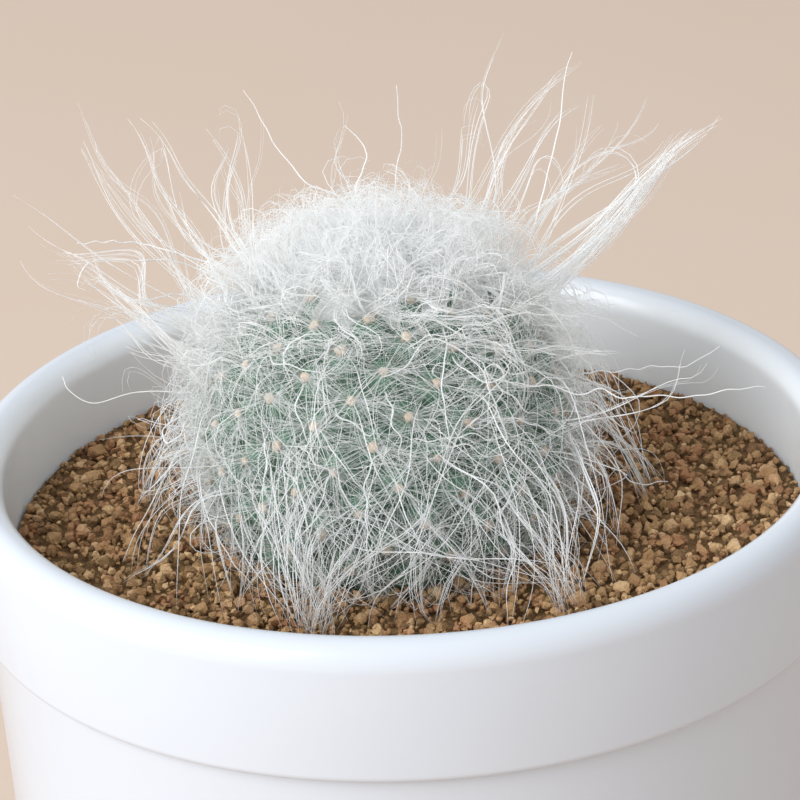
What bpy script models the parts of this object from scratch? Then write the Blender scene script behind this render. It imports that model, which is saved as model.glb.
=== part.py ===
"""A small globe cactus with white spines and long white hair, in a glazed white pot.

Units are metres, +Z is up, and the origin is the centre of the pot's foot on the table.
The pieces are the pot, the net over its drain hole, a bed of coarse gravel, the soil and the cactus.
"""

import math
import random

import bmesh
import bpy
from mathutils import Matrix, Quaternion, Vector

# Driving dimensions of the pot
POT_HEIGHT = 0.0800
RIM_CREST_RADIUS = 0.0425
LIP_HALF_WIDTH = 0.0022
LIP_ROUNDING = 0.0026
BAND_DEPTH = 0.0141
BAND_BULGE = 0.0003
BAND_STEP = 0.0010
BAND_EDGE = 0.0003
WALL_TAPER = 0.0022
HEEL_ROUNDING = 0.0045
WALL_THICKNESS = 0.0038
FLOOR_THICKNESS = 0.0040
INNER_CORNER = 0.0030
FOOT_RING_HEIGHT = 0.0020
FOOT_RING_WIDTH = 0.0040
FOOT_RING_SLOPE = 0.0008
DRAIN_RADIUS = 0.0060

# Driving dimensions of what the pot holds
SEAT_GAP = 0.0003
NET_RADIUS = 0.0110
NET_THICKNESS = 0.0010
NET_HOLE = 0.0026
NET_PITCH = 0.0042
NET_ROWS = 3
GRAVEL_DEPTH = 0.0100
SOIL_BELOW_RIM = 0.0094
SOIL_BUMP = 0.0006
SOIL_MOUND = 0.0005
SOIL_RINGS = 14
SOIL_STEPS = 84

# Driving dimensions of the cactus
CACTUS_CENTRE = Vector((-0.0018, 0.0, POT_HEIGHT))
FLESH_RADIUS = 0.0185
TUBERCLES = 196
CROWN_CROWDING = 1.12
GOLDEN_ANGLE = math.pi * (3.0 - math.sqrt(5.0))
TUBERCLE_HEIGHT = 0.0017
SMOOTH_ABOVE_SOIL = 0.0022
ROOT_NECK_RADIUS = 0.0090
ROOT_NECK_DROP = 0.0133
ROOT_TIP_RADIUS = 0.0020
ROOT_TIP_Z = 0.0330
SPINE_RISES = (0.40, 0.65, 1.60)
SPINE_SWING = 0.3
SPINE_LENGTH = 0.0044
SPINE_BASE = 0.00018
SPINE_SINK = 0.0006
SPINE_STEP_OUT = 0.0007
SPINE_STEP_DOWN = 0.0004
HAIR_BASE = 0.00034
HAIR_TIP = 0.00012
HAIR_SINK = 0.0034
HAIR_SEGMENT = 0.0052
HAIR_CLEAR = 0.0009
HAIR_LEAVE = 0.42
HAIR_ARRIVE = 0.25
HAIR_WAVE = 0.0007
HAIR_WAVE_LENGTH = 0.0240
ROUND_STEPS = 48
SEED = 21
MILLIMETRE = 0.001

# Tufts of long hair that stand up or out, as read from the front: azimuth of the tip round the
# cactus (0 is +X, 90 is the back), reach of the tip from its axis and height of the tip over its
# centre, both in millimetres, polar angle of the root from the crown, and number of locks
STANDING_TUFTS = (
    (13, 35.0, 29.0, 50, 4),
    (20, 30.5, 28.5, 46, 2),
    (26, 22.6, 35.5, 34, 1),
    (45, 19.5, 36.5, 28, 2),
    (28, 27.0, 33.5, 38, 2),
    (-65, 2.5, 34.0, 12, 1),
    (180, 4.0, 32.0, 14, 1),
    (188, 12.0, 35.0, 30, 1),
    (147, 20.0, 32.0, 40, 2),
    (171, 24.8, 33.5, 44, 2),
    (173, 29.9, 32.5, 50, 2),
    (166, 37.0, 24.0, 62, 1),
    (180, 30.3, 22.8, 60, 4),
    (184, 36.5, 22.0, 66, 1),
    (188, 28.5, 17.5, 66, 2),
    (197, 32.0, 11.0, 78, 2),
    (203, 27.0, 5.5, 86, 1),
    (-21, 38.5, 11.0, 74, 1),
    (-20, 34.0, 14.0, 70, 1),
    (-33, 28.0, 16.0, 66, 1),
    (6, 27.0, 0.5, 84, 2),
    (-4, 26.0, -4.5, 90, 2),
)
STANDING_ROOT_SPREAD = (14.0, 6.0)
STANDING_TIP_SPREAD = (3.0, 2.0)

# Tufts at the back, where nothing is read: reach, height and root polar angle, by turns
BACK_TUFTS = 11
BACK_AZIMUTHS = (38, 144)
BACK_TUFT_FORMS = ((21.5, 30.0, 50), (26.0, 20.0, 63), (31.0, 9.0, 77))
BACK_TUFT_SPREAD = 2.5
BACK_TUFT_LOCKS = 2

# Tufts that hang and meet in points on the soil: azimuth and reach of the point in millimetres,
# and number of locks
HANGING_TUFTS = (
    (-107, 27.0, 5),
    (-55, 29.0, 5),
    (-80, 25.0, 2),
    (-94, 22.5, 2),
    (-67, 24.5, 2),
    (-128, 25.5, 3),
    (-152, 28.5, 3),
    (-28, 25.0, 3),
)
BACK_HANGING_TUFTS = 6
BACK_HANGING_AZIMUTHS = (-8, 190)
BACK_HANGING_REACH = (24.0, 28.0)
BACK_HANGING_LOCKS = 3
HANGING_FAN = 34.0
HANGING_JITTER = 3.0
HANGING_POINT_JITTER = 0.6
HANGING_ROOT_POLARS = (74, 96)
HANGING_DROP = 0.2

# Short upright curls on the crown
CURLS = 34
CURL_POLARS = (6, 46)
CURL_REACH = (5.0, 9.0)
CURL_LEAN = 50.0

# Heights and radii that follow from those
FLOOR_Z = FOOT_RING_HEIGHT + FLOOR_THICKNESS
CORNER_Z = FLOOR_Z + INNER_CORNER
BAND_FOOT_Z = POT_HEIGHT - BAND_DEPTH
LIP_Z = POT_HEIGHT - LIP_ROUNDING
SOIL_Z = POT_HEIGHT - SOIL_BELOW_RIM
GRAVEL_TOP_Z = FLOOR_Z + GRAVEL_DEPTH
BAND_RADIUS = RIM_CREST_RADIUS + LIP_HALF_WIDTH - BAND_BULGE
WALL_TOP_RADIUS = BAND_RADIUS - BAND_STEP
WALL_FOOT_RADIUS = WALL_TOP_RADIUS - WALL_TAPER
INNER_TOP_RADIUS = RIM_CREST_RADIUS - LIP_HALF_WIDTH
INNER_FOOT_RADIUS = WALL_FOOT_RADIUS - WALL_THICKNESS
SOIL_TOP_MAX = SOIL_Z + SOIL_MOUND + SOIL_BUMP


def clear_scene():
    """Removes whatever objects the scene already holds."""
    for obj in list(bpy.data.objects):
        bpy.data.objects.remove(obj)


def new_collection(name):
    """A collection linked to the scene."""
    collection = bpy.data.collections.new(name)
    bpy.context.scene.collection.children.link(collection)
    return collection


def finish_material(name, colour, roughness, coat=0.0):
    """A Principled BSDF with one colour and roughness."""
    material = bpy.data.materials.new(name)
    material.use_nodes = True
    shader = material.node_tree.nodes["Principled BSDF"]
    shader.inputs["Base Color"].default_value = (*colour, 1.0)
    shader.inputs["Roughness"].default_value = roughness
    shader.inputs["Metallic"].default_value = 0.0
    shader.inputs["Coat Weight"].default_value = coat
    return material


def new_object(name, mesh, collection):
    """An object for a mesh, linked to a collection."""
    obj = bpy.data.objects.new(name, mesh)
    collection.objects.link(obj)
    return obj


def mesh_from(name, bm):
    """A mesh made from a bmesh, which is then freed."""
    mesh = bpy.data.meshes.new(name)
    bm.to_mesh(mesh)
    bm.free()
    return mesh


def apply_modifiers(obj):
    """Replaces an object's mesh by what its modifiers make of it."""
    depsgraph = bpy.context.evaluated_depsgraph_get()
    depsgraph.update()
    mesh = bpy.data.meshes.new_from_object(obj.evaluated_get(depsgraph))
    obj.modifiers.clear()
    obj.data = mesh


def cut(obj, cutter):
    """Cuts one closed mesh from another and hides the cutter."""
    cutter.hide_render = True
    cutter.display_type = "WIRE"
    difference = obj.modifiers.new("cut", "BOOLEAN")
    difference.operation = "DIFFERENCE"
    difference.object = cutter
    apply_modifiers(obj)


def arc(centre_r, centre_z, radius_r, radius_z, start, end, steps):
    """Points of an elliptical arc in the profile plane; angles in degrees, 0 outwards and 90 up."""
    points = []
    for i in range(steps + 1):
        angle = math.radians(start + (end - start) * i / steps)
        points.append((centre_r + radius_r * math.cos(angle), centre_z + radius_z * math.sin(angle)))
    return points


def turned(name, profile, collection, closed, steps=ROUND_STEPS):
    """A profile of (radius, height) points turned about the Z axis."""
    bm = bmesh.new()
    verts = [bm.verts.new((r, 0.0, z)) for r, z in profile]
    for a, b in zip(verts, verts[1:]):
        bm.edges.new((a, b))
    if closed:
        bm.edges.new((verts[-1], verts[0]))
    obj = new_object(name, mesh_from(name, bm), collection)
    screw = obj.modifiers.new("turn", "SCREW")
    screw.axis = "Z"
    screw.steps = steps
    screw.render_steps = steps
    screw.use_merge_vertices = True
    screw.merge_threshold = 0.00001
    apply_modifiers(obj)
    return obj


def shade_round(obj):
    """Smooth shading that keeps the sharp edges."""
    obj.data.shade_smooth()
    obj.data.set_sharp_from_angle(angle=math.radians(35))


def pot_profile():
    """The pot's wall as a closed loop: lip, band, step, wall, heel, foot ring, drain hole and inside."""
    outer_lip = arc(RIM_CREST_RADIUS, LIP_Z, LIP_HALF_WIDTH, LIP_ROUNDING, 90, 0, 4)
    band = [
        (BAND_RADIUS, BAND_FOOT_Z + BAND_EDGE),
        (BAND_RADIUS - BAND_EDGE, BAND_FOOT_Z),
        (WALL_TOP_RADIUS, BAND_FOOT_Z - BAND_EDGE / 2),
    ]
    heel = arc(WALL_FOOT_RADIUS - HEEL_ROUNDING, HEEL_ROUNDING, HEEL_ROUNDING, HEEL_ROUNDING, 0, -90, 4)
    foot_inner = WALL_FOOT_RADIUS - HEEL_ROUNDING - FOOT_RING_WIDTH
    underside = [
        (foot_inner, 0.0),
        (foot_inner - FOOT_RING_SLOPE, FOOT_RING_HEIGHT),
        (DRAIN_RADIUS, FOOT_RING_HEIGHT),
        (DRAIN_RADIUS, FLOOR_Z),
    ]
    corner = arc(INNER_FOOT_RADIUS - INNER_CORNER, CORNER_Z, INNER_CORNER, INNER_CORNER, -90, 0, 3)
    inner_lip = arc(RIM_CREST_RADIUS, LIP_Z, LIP_HALF_WIDTH, LIP_ROUNDING, 180, 90, 4)[:-1]
    return outer_lip + band + heel + underside + corner + inner_lip


def inner_radius(z):
    """The pot's inner radius at a height on its straight wall."""
    share = (z - CORNER_Z) / (LIP_Z - CORNER_Z)
    return INNER_FOOT_RADIUS + (INNER_TOP_RADIUS - INNER_FOOT_RADIUS) * share


def make_pot(collection):
    """The glazed pot, with its foot ring and drain hole."""
    pot = turned("pot", pot_profile(), collection, closed=True)
    shade_round(pot)
    pot.data.materials.append(finish_material("white_glaze", (0.90, 0.92, 0.94), 0.12, coat=0.4))


def make_drain_net(collection, cutters):
    """A round plastic net that lies over the drain hole."""
    lift = Matrix.Translation((0.0, 0.0, FLOOR_Z + SEAT_GAP + NET_THICKNESS / 2))
    bm = bmesh.new()
    bmesh.ops.create_cone(
        bm, cap_ends=True, segments=ROUND_STEPS // 2, radius1=NET_RADIUS, radius2=NET_RADIUS,
        depth=NET_THICKNESS, matrix=lift,
    )
    net = new_object("drain_net", mesh_from("drain_net", bm), collection)
    bm = bmesh.new()
    size = Matrix.Diagonal((NET_HOLE, NET_HOLE, NET_THICKNESS * 3, 1.0))
    for i in range(NET_ROWS):
        for j in range(NET_ROWS):
            centre = Vector((i - NET_ROWS // 2, j - NET_ROWS // 2, 0.0)) * NET_PITCH
            bmesh.ops.create_cube(bm, size=1.0, matrix=lift @ Matrix.Translation(centre) @ size)
    cut(net, new_object("net_holes", mesh_from("net_holes", bm), cutters))
    net.data.materials.append(finish_material("green_plastic", (0.10, 0.22, 0.14), 0.5))


def make_gravel(collection):
    """The bed of coarse gravel that lies on the floor and on the net."""
    net_clear = NET_RADIUS + SEAT_GAP
    net_top = FLOOR_Z + NET_THICKNESS + SEAT_GAP * 2
    profile = [
        (0.0, GRAVEL_TOP_Z),
        (inner_radius(GRAVEL_TOP_Z) - SEAT_GAP, GRAVEL_TOP_Z),
        (inner_radius(CORNER_Z) - SEAT_GAP, CORNER_Z),
        (INNER_FOOT_RADIUS - INNER_CORNER - SEAT_GAP, FLOOR_Z + SEAT_GAP),
        (net_clear, FLOOR_Z + SEAT_GAP),
        (net_clear, net_top),
        (0.0, net_top),
    ]
    gravel = turned("drainage_gravel", profile, collection, closed=False)
    gravel.data.materials.append(finish_material("pale_gravel", (0.62, 0.55, 0.44), 0.9))


def soil_top(radius):
    """Height of the soil's surface before its grain, a low mound towards the plant."""
    return SOIL_Z + SOIL_MOUND * max(0.0, 1.0 - radius / inner_radius(SOIL_Z))


def make_soil(collection, cutters):
    """The soil: a plug with a grained top and a plain hole for the cactus and its root."""
    edge = inner_radius(SOIL_Z) - SEAT_GAP
    start = FLESH_RADIUS * 0.70
    base_z = GRAVEL_TOP_Z + SEAT_GAP
    profile = [(0.0, soil_top(0.0))]
    for i in range(SOIL_RINGS + 1):
        radius = start + (edge - start) * i / SOIL_RINGS
        profile.append((radius, soil_top(radius)))
    profile += [(inner_radius(base_z) - SEAT_GAP, base_z), (0.0, base_z)]
    soil = turned("soil", profile, collection, closed=False, steps=SOIL_STEPS)
    rng = random.Random(SEED)
    for vert in soil.data.vertices:
        if vert.co.z > SOIL_Z - SOIL_BUMP:
            shift = SOIL_BUMP if vert.co.xy.length < edge - SOIL_BUMP else 0.0
            vert.co.x += rng.uniform(-shift, shift)
            vert.co.y += rng.uniform(-shift, shift)
            vert.co.z += rng.choice((-1.0, -0.5, 0.6, 1.0)) * SOIL_BUMP
    cut(soil, flesh_socket(cutters))
    cut(soil, root_socket(cutters))
    soil.data.materials.append(finish_material("brown_soil", (0.36, 0.22, 0.13), 0.95))


def flesh_socket(cutters):
    """The round hollow that the underside of the cactus sits in."""
    bm = bmesh.new()
    bmesh.ops.create_uvsphere(
        bm, u_segments=ROUND_STEPS, v_segments=ROUND_STEPS // 2, radius=FLESH_RADIUS + SEAT_GAP,
        matrix=Matrix.Translation(CACTUS_CENTRE),
    )
    return new_object("flesh_socket", mesh_from("flesh_socket", bm), cutters)


def root_cone(bm, grow):
    """Adds the root's tapering neck to a bmesh, wider and longer by grow."""
    top_z = CACTUS_CENTRE.z - ROOT_NECK_DROP
    low_z = ROOT_TIP_Z - grow
    middle = Vector((CACTUS_CENTRE.x, CACTUS_CENTRE.y, (top_z + low_z) / 2))
    bmesh.ops.create_cone(
        bm, cap_ends=True, segments=ROUND_STEPS // 4, radius1=ROOT_TIP_RADIUS + grow,
        radius2=ROOT_NECK_RADIUS + grow, depth=top_z - low_z, matrix=Matrix.Translation(middle),
    )


def root_socket(cutters):
    """The hole that the root stands in."""
    bm = bmesh.new()
    root_cone(bm, SEAT_GAP)
    return new_object("root_socket", mesh_from("root_socket", bm), cutters)


def direction(azimuth, polar):
    """Unit vector from the cactus's centre: azimuth 0 is +X, polar 0 is straight up, in degrees."""
    a = math.radians(azimuth)
    p = math.radians(polar)
    return Vector((math.sin(p) * math.cos(a), math.sin(p) * math.sin(a), math.cos(p)))


def tubercle_directions():
    """Directions of the tubercles, in one spiral from the crown down, closer together at the crown."""
    found = []
    for k in range(TUBERCLES):
        share = ((k + 0.5) / TUBERCLES) ** CROWN_CROWDING
        height = 1.0 - 2.0 * share
        ring = math.sqrt(1.0 - height * height)
        turn = k * GOLDEN_ANGLE
        found.append(Vector((ring * math.cos(turn), ring * math.sin(turn), height)))
    return found


def above_soil(point):
    """True where the flesh stands clear of the soil and bears tubercles."""
    return point.z > SOIL_TOP_MAX + SMOOTH_ABOVE_SOIL


def make_flesh(collection):
    """The green body: tubercles as low pyramids over a globe, and a smooth underside."""
    bm = bmesh.new()
    tips = [bm.verts.new(CACTUS_CENTRE + out * FLESH_RADIUS) for out in tubercle_directions()]
    bmesh.ops.convex_hull(bm, input=tips)
    split = bmesh.ops.subdivide_edges(bm, edges=bm.edges, cuts=1, use_grid_fill=True)
    for vert in split["geom_inner"]:
        if not isinstance(vert, bmesh.types.BMVert):
            continue
        out = (vert.co - CACTUS_CENTRE).normalized()
        depth = TUBERCLE_HEIGHT if above_soil(vert.co) else 0.0
        vert.co = CACTUS_CENTRE + out * (FLESH_RADIUS - depth)
    bmesh.ops.recalc_face_normals(bm, faces=bm.faces)
    return new_object("cactus", mesh_from("cactus", bm), collection)


def make_root(repeats):
    """The tapering root under the globe."""
    bm = bmesh.new()
    root_cone(bm, 0.0)
    new_object("root", mesh_from("root", bm), repeats)


def make_spines(repeats):
    """White spines on each tubercle: two that spread over the skin and one that stands out."""
    bm = bmesh.new()
    length = SPINE_LENGTH + SPINE_SINK
    base = Matrix.Translation((0.0, 0.0, length / 2 - SPINE_SINK))
    bmesh.ops.create_cone(
        bm, cap_ends=True, segments=3, radius1=SPINE_BASE, radius2=0.0, depth=length, matrix=base
    )
    spine = mesh_from("spine", bm)
    rng = random.Random(SEED + 1)
    up = Vector((0.0, 0.0, 1.0))
    for k, out in enumerate(tubercle_directions()):
        tip = CACTUS_CENTRE + out * FLESH_RADIUS
        if not above_soil(tip):
            continue
        side = out.cross(up).normalized()
        first = rng.uniform(0.0, math.tau)
        for i, rise in enumerate(SPINE_RISES):
            turn = first + math.tau * i / len(SPINE_RISES) + rng.uniform(-SPINE_SWING, SPINE_SWING)
            away = Quaternion(out, turn) @ side
            root = tip + away * SPINE_STEP_OUT - out * SPINE_STEP_DOWN
            heading = (away + out * rise * rng.uniform(0.8, 1.2)).normalized()
            if (root + heading * SPINE_LENGTH).z < SOIL_TOP_MAX + HAIR_CLEAR:
                continue
            obj = new_object(f"spine_{k}_{i}", spine, repeats)
            obj.matrix_world = Matrix.LocRotScale(root, up.rotation_difference(heading), None)


def lock_curve(root, tip, end_drop, wave, rng):
    """Points of one lock of hair: out along the skin's normal, over, and on to its tip, with a wave."""
    span = (tip - root).length
    out = (root - CACTUS_CENTRE).normalized()
    leave = root + out * span * HAIR_LEAVE
    arrive = tip + (leave - tip).normalized() * span * HAIR_ARRIVE
    arrive.z += end_drop * span
    side = (tip - root).cross(out).normalized()
    other = (tip - root).normalized().cross(side)
    phase = rng.uniform(0.0, math.tau)
    turns = math.tau * span / HAIR_WAVE_LENGTH
    count = max(3, round(span / HAIR_SEGMENT))
    points = []
    for i in range(count + 1):
        t = i / count
        u = 1.0 - t
        point = root * u**3 + leave * 3 * u * u * t + arrive * 3 * u * t * t + tip * t**3
        sway = wave * math.sin(math.pi / 2 * min(1.0, t * 1.6))
        point = point + side * sway * math.sin(phase + turns * t)
        point = point + other * sway * math.cos(phase * 1.7 + turns * 0.8 * t)
        points.append(keep_clear(point, i))
    return points


def keep_clear(point, index):
    """Moves a point of a lock, past its root, out of the flesh and the soil."""
    away = point - CACTUS_CENTRE
    nearest = FLESH_RADIUS + HAIR_CLEAR
    if index > 1 and away.length < nearest:
        point = CACTUS_CENTRE + away.normalized() * nearest
    if index > 0:
        point.z = max(point.z, SOIL_TOP_MAX + HAIR_CLEAR)
    return point


def lock_root(azimuth, polar):
    """The point well under the skin that a lock grows from."""
    return CACTUS_CENTRE + direction(azimuth, polar) * (FLESH_RADIUS - HAIR_SINK)


def standing_tufts(rng):
    """The front's tufts as listed, and the back's by rule."""
    tufts = list(STANDING_TUFTS)
    low, high = BACK_AZIMUTHS
    for i in range(BACK_TUFTS):
        azimuth = low + (high - low) * (i + rng.uniform(0.2, 0.8)) / BACK_TUFTS
        reach, height, polar = BACK_TUFT_FORMS[i % len(BACK_TUFT_FORMS)]
        reach += rng.uniform(-BACK_TUFT_SPREAD, BACK_TUFT_SPREAD)
        height += rng.uniform(-BACK_TUFT_SPREAD, BACK_TUFT_SPREAD)
        tufts.append((azimuth, reach, height, polar, BACK_TUFT_LOCKS))
    return tufts


def standing_locks(rng):
    """Locks that stand up or out from the crown and the flanks."""
    root_turn, root_tilt = STANDING_ROOT_SPREAD
    tip_turn, tip_lift = STANDING_TIP_SPREAD
    locks = []
    for azimuth, reach, height, polar, count in standing_tufts(rng):
        spread = 1.0 if count > 1 else 0.0
        for _ in range(count):
            root_azimuth = azimuth + rng.uniform(-root_turn, root_turn)
            root = lock_root(root_azimuth, polar + rng.uniform(-root_tilt, root_tilt))
            tip = direction(azimuth + rng.uniform(-tip_turn, tip_turn) * spread, 90) * reach
            tip.z = height + rng.uniform(-tip_lift, tip_lift) * spread
            locks.append(lock_curve(root, CACTUS_CENTRE + tip * MILLIMETRE, 0.0, HAIR_WAVE, rng))
    return locks


def hanging_tufts(rng):
    """The front's hanging tufts as listed, and the back's by rule."""
    tufts = list(HANGING_TUFTS)
    low, high = BACK_HANGING_AZIMUTHS
    for i in range(BACK_HANGING_TUFTS):
        azimuth = low + (high - low) * (i + rng.uniform(0.3, 0.7)) / BACK_HANGING_TUFTS
        tufts.append((azimuth, rng.uniform(*BACK_HANGING_REACH), BACK_HANGING_LOCKS))
    return tufts


def hanging_locks(rng):
    """Locks from the flanks of the cactus that meet in points on the soil."""
    locks = []
    for azimuth, reach, count in hanging_tufts(rng):
        for i in range(count):
            swing = (i / (count - 1) - 0.5) * HANGING_FAN + rng.uniform(-HANGING_JITTER, HANGING_JITTER)
            root = lock_root(azimuth + swing, rng.uniform(*HANGING_ROOT_POLARS))
            end = reach + rng.uniform(-HANGING_POINT_JITTER, HANGING_POINT_JITTER)
            tip = CACTUS_CENTRE + direction(azimuth + swing * 0.1, 90) * end * MILLIMETRE
            tip.z = SOIL_TOP_MAX + HAIR_CLEAR
            locks.append(lock_curve(root, tip, HANGING_DROP, HAIR_WAVE / 2, rng))
    return locks


def curl_locks(rng):
    """Short upright curls on the crown, where the newest hair is thickest."""
    low, high = CURL_POLARS
    locks = []
    for i in range(CURLS):
        azimuth = math.degrees(i * GOLDEN_ANGLE)
        polar = low + (high - low) * (i + 0.5) / CURLS
        lean = direction(azimuth + rng.uniform(-CURL_LEAN, CURL_LEAN), polar * 1.4)
        tip = CACTUS_CENTRE + lean * (FLESH_RADIUS + rng.uniform(*CURL_REACH) * MILLIMETRE)
        locks.append(lock_curve(lock_root(azimuth, polar), tip, 0.0, HAIR_WAVE, rng))
    return locks


def hair_section(cutters):
    """The three-sided outline that a lock is swept with."""
    curve = bpy.data.curves.new("hair_section", "CURVE")
    curve.dimensions = "2D"
    spline = curve.splines.new("POLY")
    spline.points.add(2)
    for i, point in enumerate(spline.points):
        angle = -math.tau * i / 3
        point.co = (math.cos(angle), math.sin(angle), 0.0, 1.0)
    spline.use_cyclic_u = True
    section = new_object("hair_section", curve, cutters)
    section.hide_render = True
    section.display_type = "WIRE"
    return section


def make_lock(name, points, section, repeats):
    """One lock as a closed, tapering, three-sided mesh."""
    curve = bpy.data.curves.new(name, "CURVE")
    curve.dimensions = "3D"
    curve.bevel_mode = "OBJECT"
    curve.bevel_object = section
    curve.use_fill_caps = True
    curve.twist_mode = "MINIMUM"
    spline = curve.splines.new("POLY")
    spline.points.add(len(points) - 1)
    for i, (target, point) in enumerate(zip(spline.points, points)):
        target.co = (*point, 1.0)
        target.radius = HAIR_BASE + (HAIR_TIP - HAIR_BASE) * i / (len(points) - 1)
    swept = new_object(f"{name}_curve", curve, repeats)
    depsgraph = bpy.context.evaluated_depsgraph_get()
    depsgraph.update()
    mesh = bpy.data.meshes.new_from_object(swept.evaluated_get(depsgraph))
    bpy.data.objects.remove(swept)
    bm = bmesh.new()
    bm.from_mesh(mesh)
    bmesh.ops.remove_doubles(bm, verts=bm.verts, dist=0.00001)
    bmesh.ops.recalc_face_normals(bm, faces=bm.faces)
    bm.to_mesh(mesh)
    bm.free()
    new_object(name, mesh, repeats)


def make_locks(cutters, repeats):
    """All the locks of hair, drawn from one seeded run of numbers."""
    rng = random.Random(SEED + 2)
    courses = standing_locks(rng) + hanging_locks(rng) + curl_locks(rng)
    section = hair_section(cutters)
    for i, points in enumerate(courses):
        make_lock(f"lock_{i}", points, section, repeats)


def make_cactus(collection, cutters):
    """The cactus as one grown body: flesh, root, spines and locks of hair."""
    cactus = make_flesh(collection)
    repeats = new_collection("cactus_repeats")
    make_root(repeats)
    make_spines(repeats)
    make_locks(cutters, repeats)
    union = cactus.modifiers.new("grow", "BOOLEAN")
    union.operation = "UNION"
    union.operand_type = "COLLECTION"
    union.solver = "MANIFOLD"
    union.collection = repeats
    apply_modifiers(cactus)
    for obj in list(repeats.objects):
        bpy.data.objects.remove(obj)
    bpy.data.collections.remove(repeats)
    cactus.data.materials.append(finish_material("hairy_skin", (0.62, 0.70, 0.64), 0.6))


def main():
    """Builds the potted cactus in the current scene."""
    clear_scene()
    parts = new_collection("potted_mammillaria")
    cutters = new_collection("cutters")
    make_pot(parts)
    make_drain_net(parts, cutters)
    make_gravel(parts)
    make_soil(parts, cutters)
    make_cactus(parts, cutters)


main()
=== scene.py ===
"""Looks of a small globe cactus with white spines and long white hair, in a glazed white pot.

Laid out as an add-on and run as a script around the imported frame. Units are metres, +Z is up,
and the origin is the centre of the pot's foot on the table.
"""

import math
import random
from typing import NamedTuple

import bmesh
import bpy
from bpy.props import FloatProperty, FloatVectorProperty, IntProperty, PointerProperty
from mathutils import Matrix, Quaternion, Vector, kdtree, noise


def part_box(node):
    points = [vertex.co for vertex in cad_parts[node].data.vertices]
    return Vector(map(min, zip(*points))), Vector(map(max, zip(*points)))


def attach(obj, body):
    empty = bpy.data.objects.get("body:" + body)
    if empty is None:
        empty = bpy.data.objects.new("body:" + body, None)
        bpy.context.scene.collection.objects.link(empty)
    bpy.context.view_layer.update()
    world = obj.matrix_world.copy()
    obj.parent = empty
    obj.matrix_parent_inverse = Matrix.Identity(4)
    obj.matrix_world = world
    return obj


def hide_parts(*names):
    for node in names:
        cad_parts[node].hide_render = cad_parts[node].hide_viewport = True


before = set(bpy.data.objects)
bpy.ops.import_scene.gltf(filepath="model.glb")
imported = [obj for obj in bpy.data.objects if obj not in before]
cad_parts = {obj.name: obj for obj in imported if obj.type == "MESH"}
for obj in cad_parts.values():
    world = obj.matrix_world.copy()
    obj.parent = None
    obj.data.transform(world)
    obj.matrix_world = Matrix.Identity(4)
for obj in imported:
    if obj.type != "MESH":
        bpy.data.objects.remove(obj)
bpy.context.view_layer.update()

bl_info = {
    "name": "Potted Mammillaria",
    "version": (1, 0, 0),
    "blender": (4, 5, 0),
    "location": "View3D > Sidebar > Cactus",
    "description": "Models a small long-haired globe cactus in a glazed white pot",
    "category": "Object",
}

BODY = "root"
MILLIMETRE = 0.001
GOLDEN_ANGLE = math.pi * (3.0 - math.sqrt(5.0))
UP = Vector((0.0, 0.0, 1.0))

# Sizes read from the frame
POT_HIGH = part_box("pot")[1]
SOIL_LOW, SOIL_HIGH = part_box("soil")
GRAVEL_LOW, GRAVEL_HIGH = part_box("drainage_gravel")
POT_HEIGHT = POT_HIGH.z
SOIL_TOP_MAX = SOIL_HIGH.z
SOIL_BASE = SOIL_LOW.z

# The pot's wall
LIP_HALF_WIDTH = 0.0022
RIM_CREST_RADIUS = POT_HIGH.x - LIP_HALF_WIDTH
LIP_ROUNDING = 0.0026
BAND_DEPTH = 0.0141
BAND_BULGE = 0.0003
BAND_STEP = 0.0013
WALL_TAPER = 0.0022
HEEL_ROUNDING = 0.0045
WALL_THICKNESS = 0.0035
FLOOR_THICKNESS = 0.0040
INNER_CORNER = 0.0030
FOOT_RING_HEIGHT = 0.0020
FOOT_RING_WIDTH = 0.0040
FOOT_RING_SLOPE = 0.0008
DRAIN_RADIUS = 0.0060
# Painted light inside the pot: how far in from the lip's crest it starts, and how wide it blends in
INNER_PAINTED_LIGHT_START = 0.0004
INNER_PAINTED_LIGHT_BLEND = 0.0016
FLOOR_Z = FOOT_RING_HEIGHT + FLOOR_THICKNESS
CORNER_Z = FLOOR_Z + INNER_CORNER
BAND_FOOT_Z = POT_HEIGHT - BAND_DEPTH
LIP_Z = POT_HEIGHT - LIP_ROUNDING
BAND_RADIUS = RIM_CREST_RADIUS + LIP_HALF_WIDTH - BAND_BULGE
WALL_TOP_RADIUS = BAND_RADIUS - BAND_STEP
WALL_FOOT_RADIUS = WALL_TOP_RADIUS - WALL_TAPER
INNER_TOP_RADIUS = RIM_CREST_RADIUS - LIP_HALF_WIDTH
INNER_FOOT_RADIUS = WALL_FOOT_RADIUS - WALL_THICKNESS

# The soil and the cactus in it
SEAT_GAP = 0.0003
SOIL_MOUND = 0.0005
SOIL_BUMP = 0.0006
SOIL_Z = SOIL_TOP_MAX - SOIL_MOUND - SOIL_BUMP
SOIL_RINGS = 52
SOIL_STEPS = 150
CACTUS_CENTRE = Vector((-0.0018, 0.0, POT_HEIGHT))
FLESH_RADIUS = 0.0185
TUBERCLES = 196
CROWN_CROWDING = 1.12
TUBERCLE_HEIGHT = 0.0017
# How far over the soil an areole bears spines, and how high the tubercles take to reach full depth
AREOLE_CLEAR = 0.0010
TUBERCLE_RISE = 0.0022
FELT_SIZES = (0.00043, 0.00062)
SPINE_LENGTHS = (0.0036, 0.0068)
SPINE_RADIUS = 0.000026
ROOT_NECK_RADIUS = 0.0090
ROOT_NECK_Z = CACTUS_CENTRE.z - 0.0133
ROOT_TIP_RADIUS = 0.0020
ROOT_TIP_Z = 0.0330
HAIR_CLEAR = 0.0006

# The locks of hair, as in the solid cactus
SEED = 21
HAIR_SINK = 0.0034
HAIR_LEAVE = 0.42
HAIR_ARRIVE = 0.25
HAIR_WAVE = 0.0007
HAIR_WAVE_LENGTH = 0.0240

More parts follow.
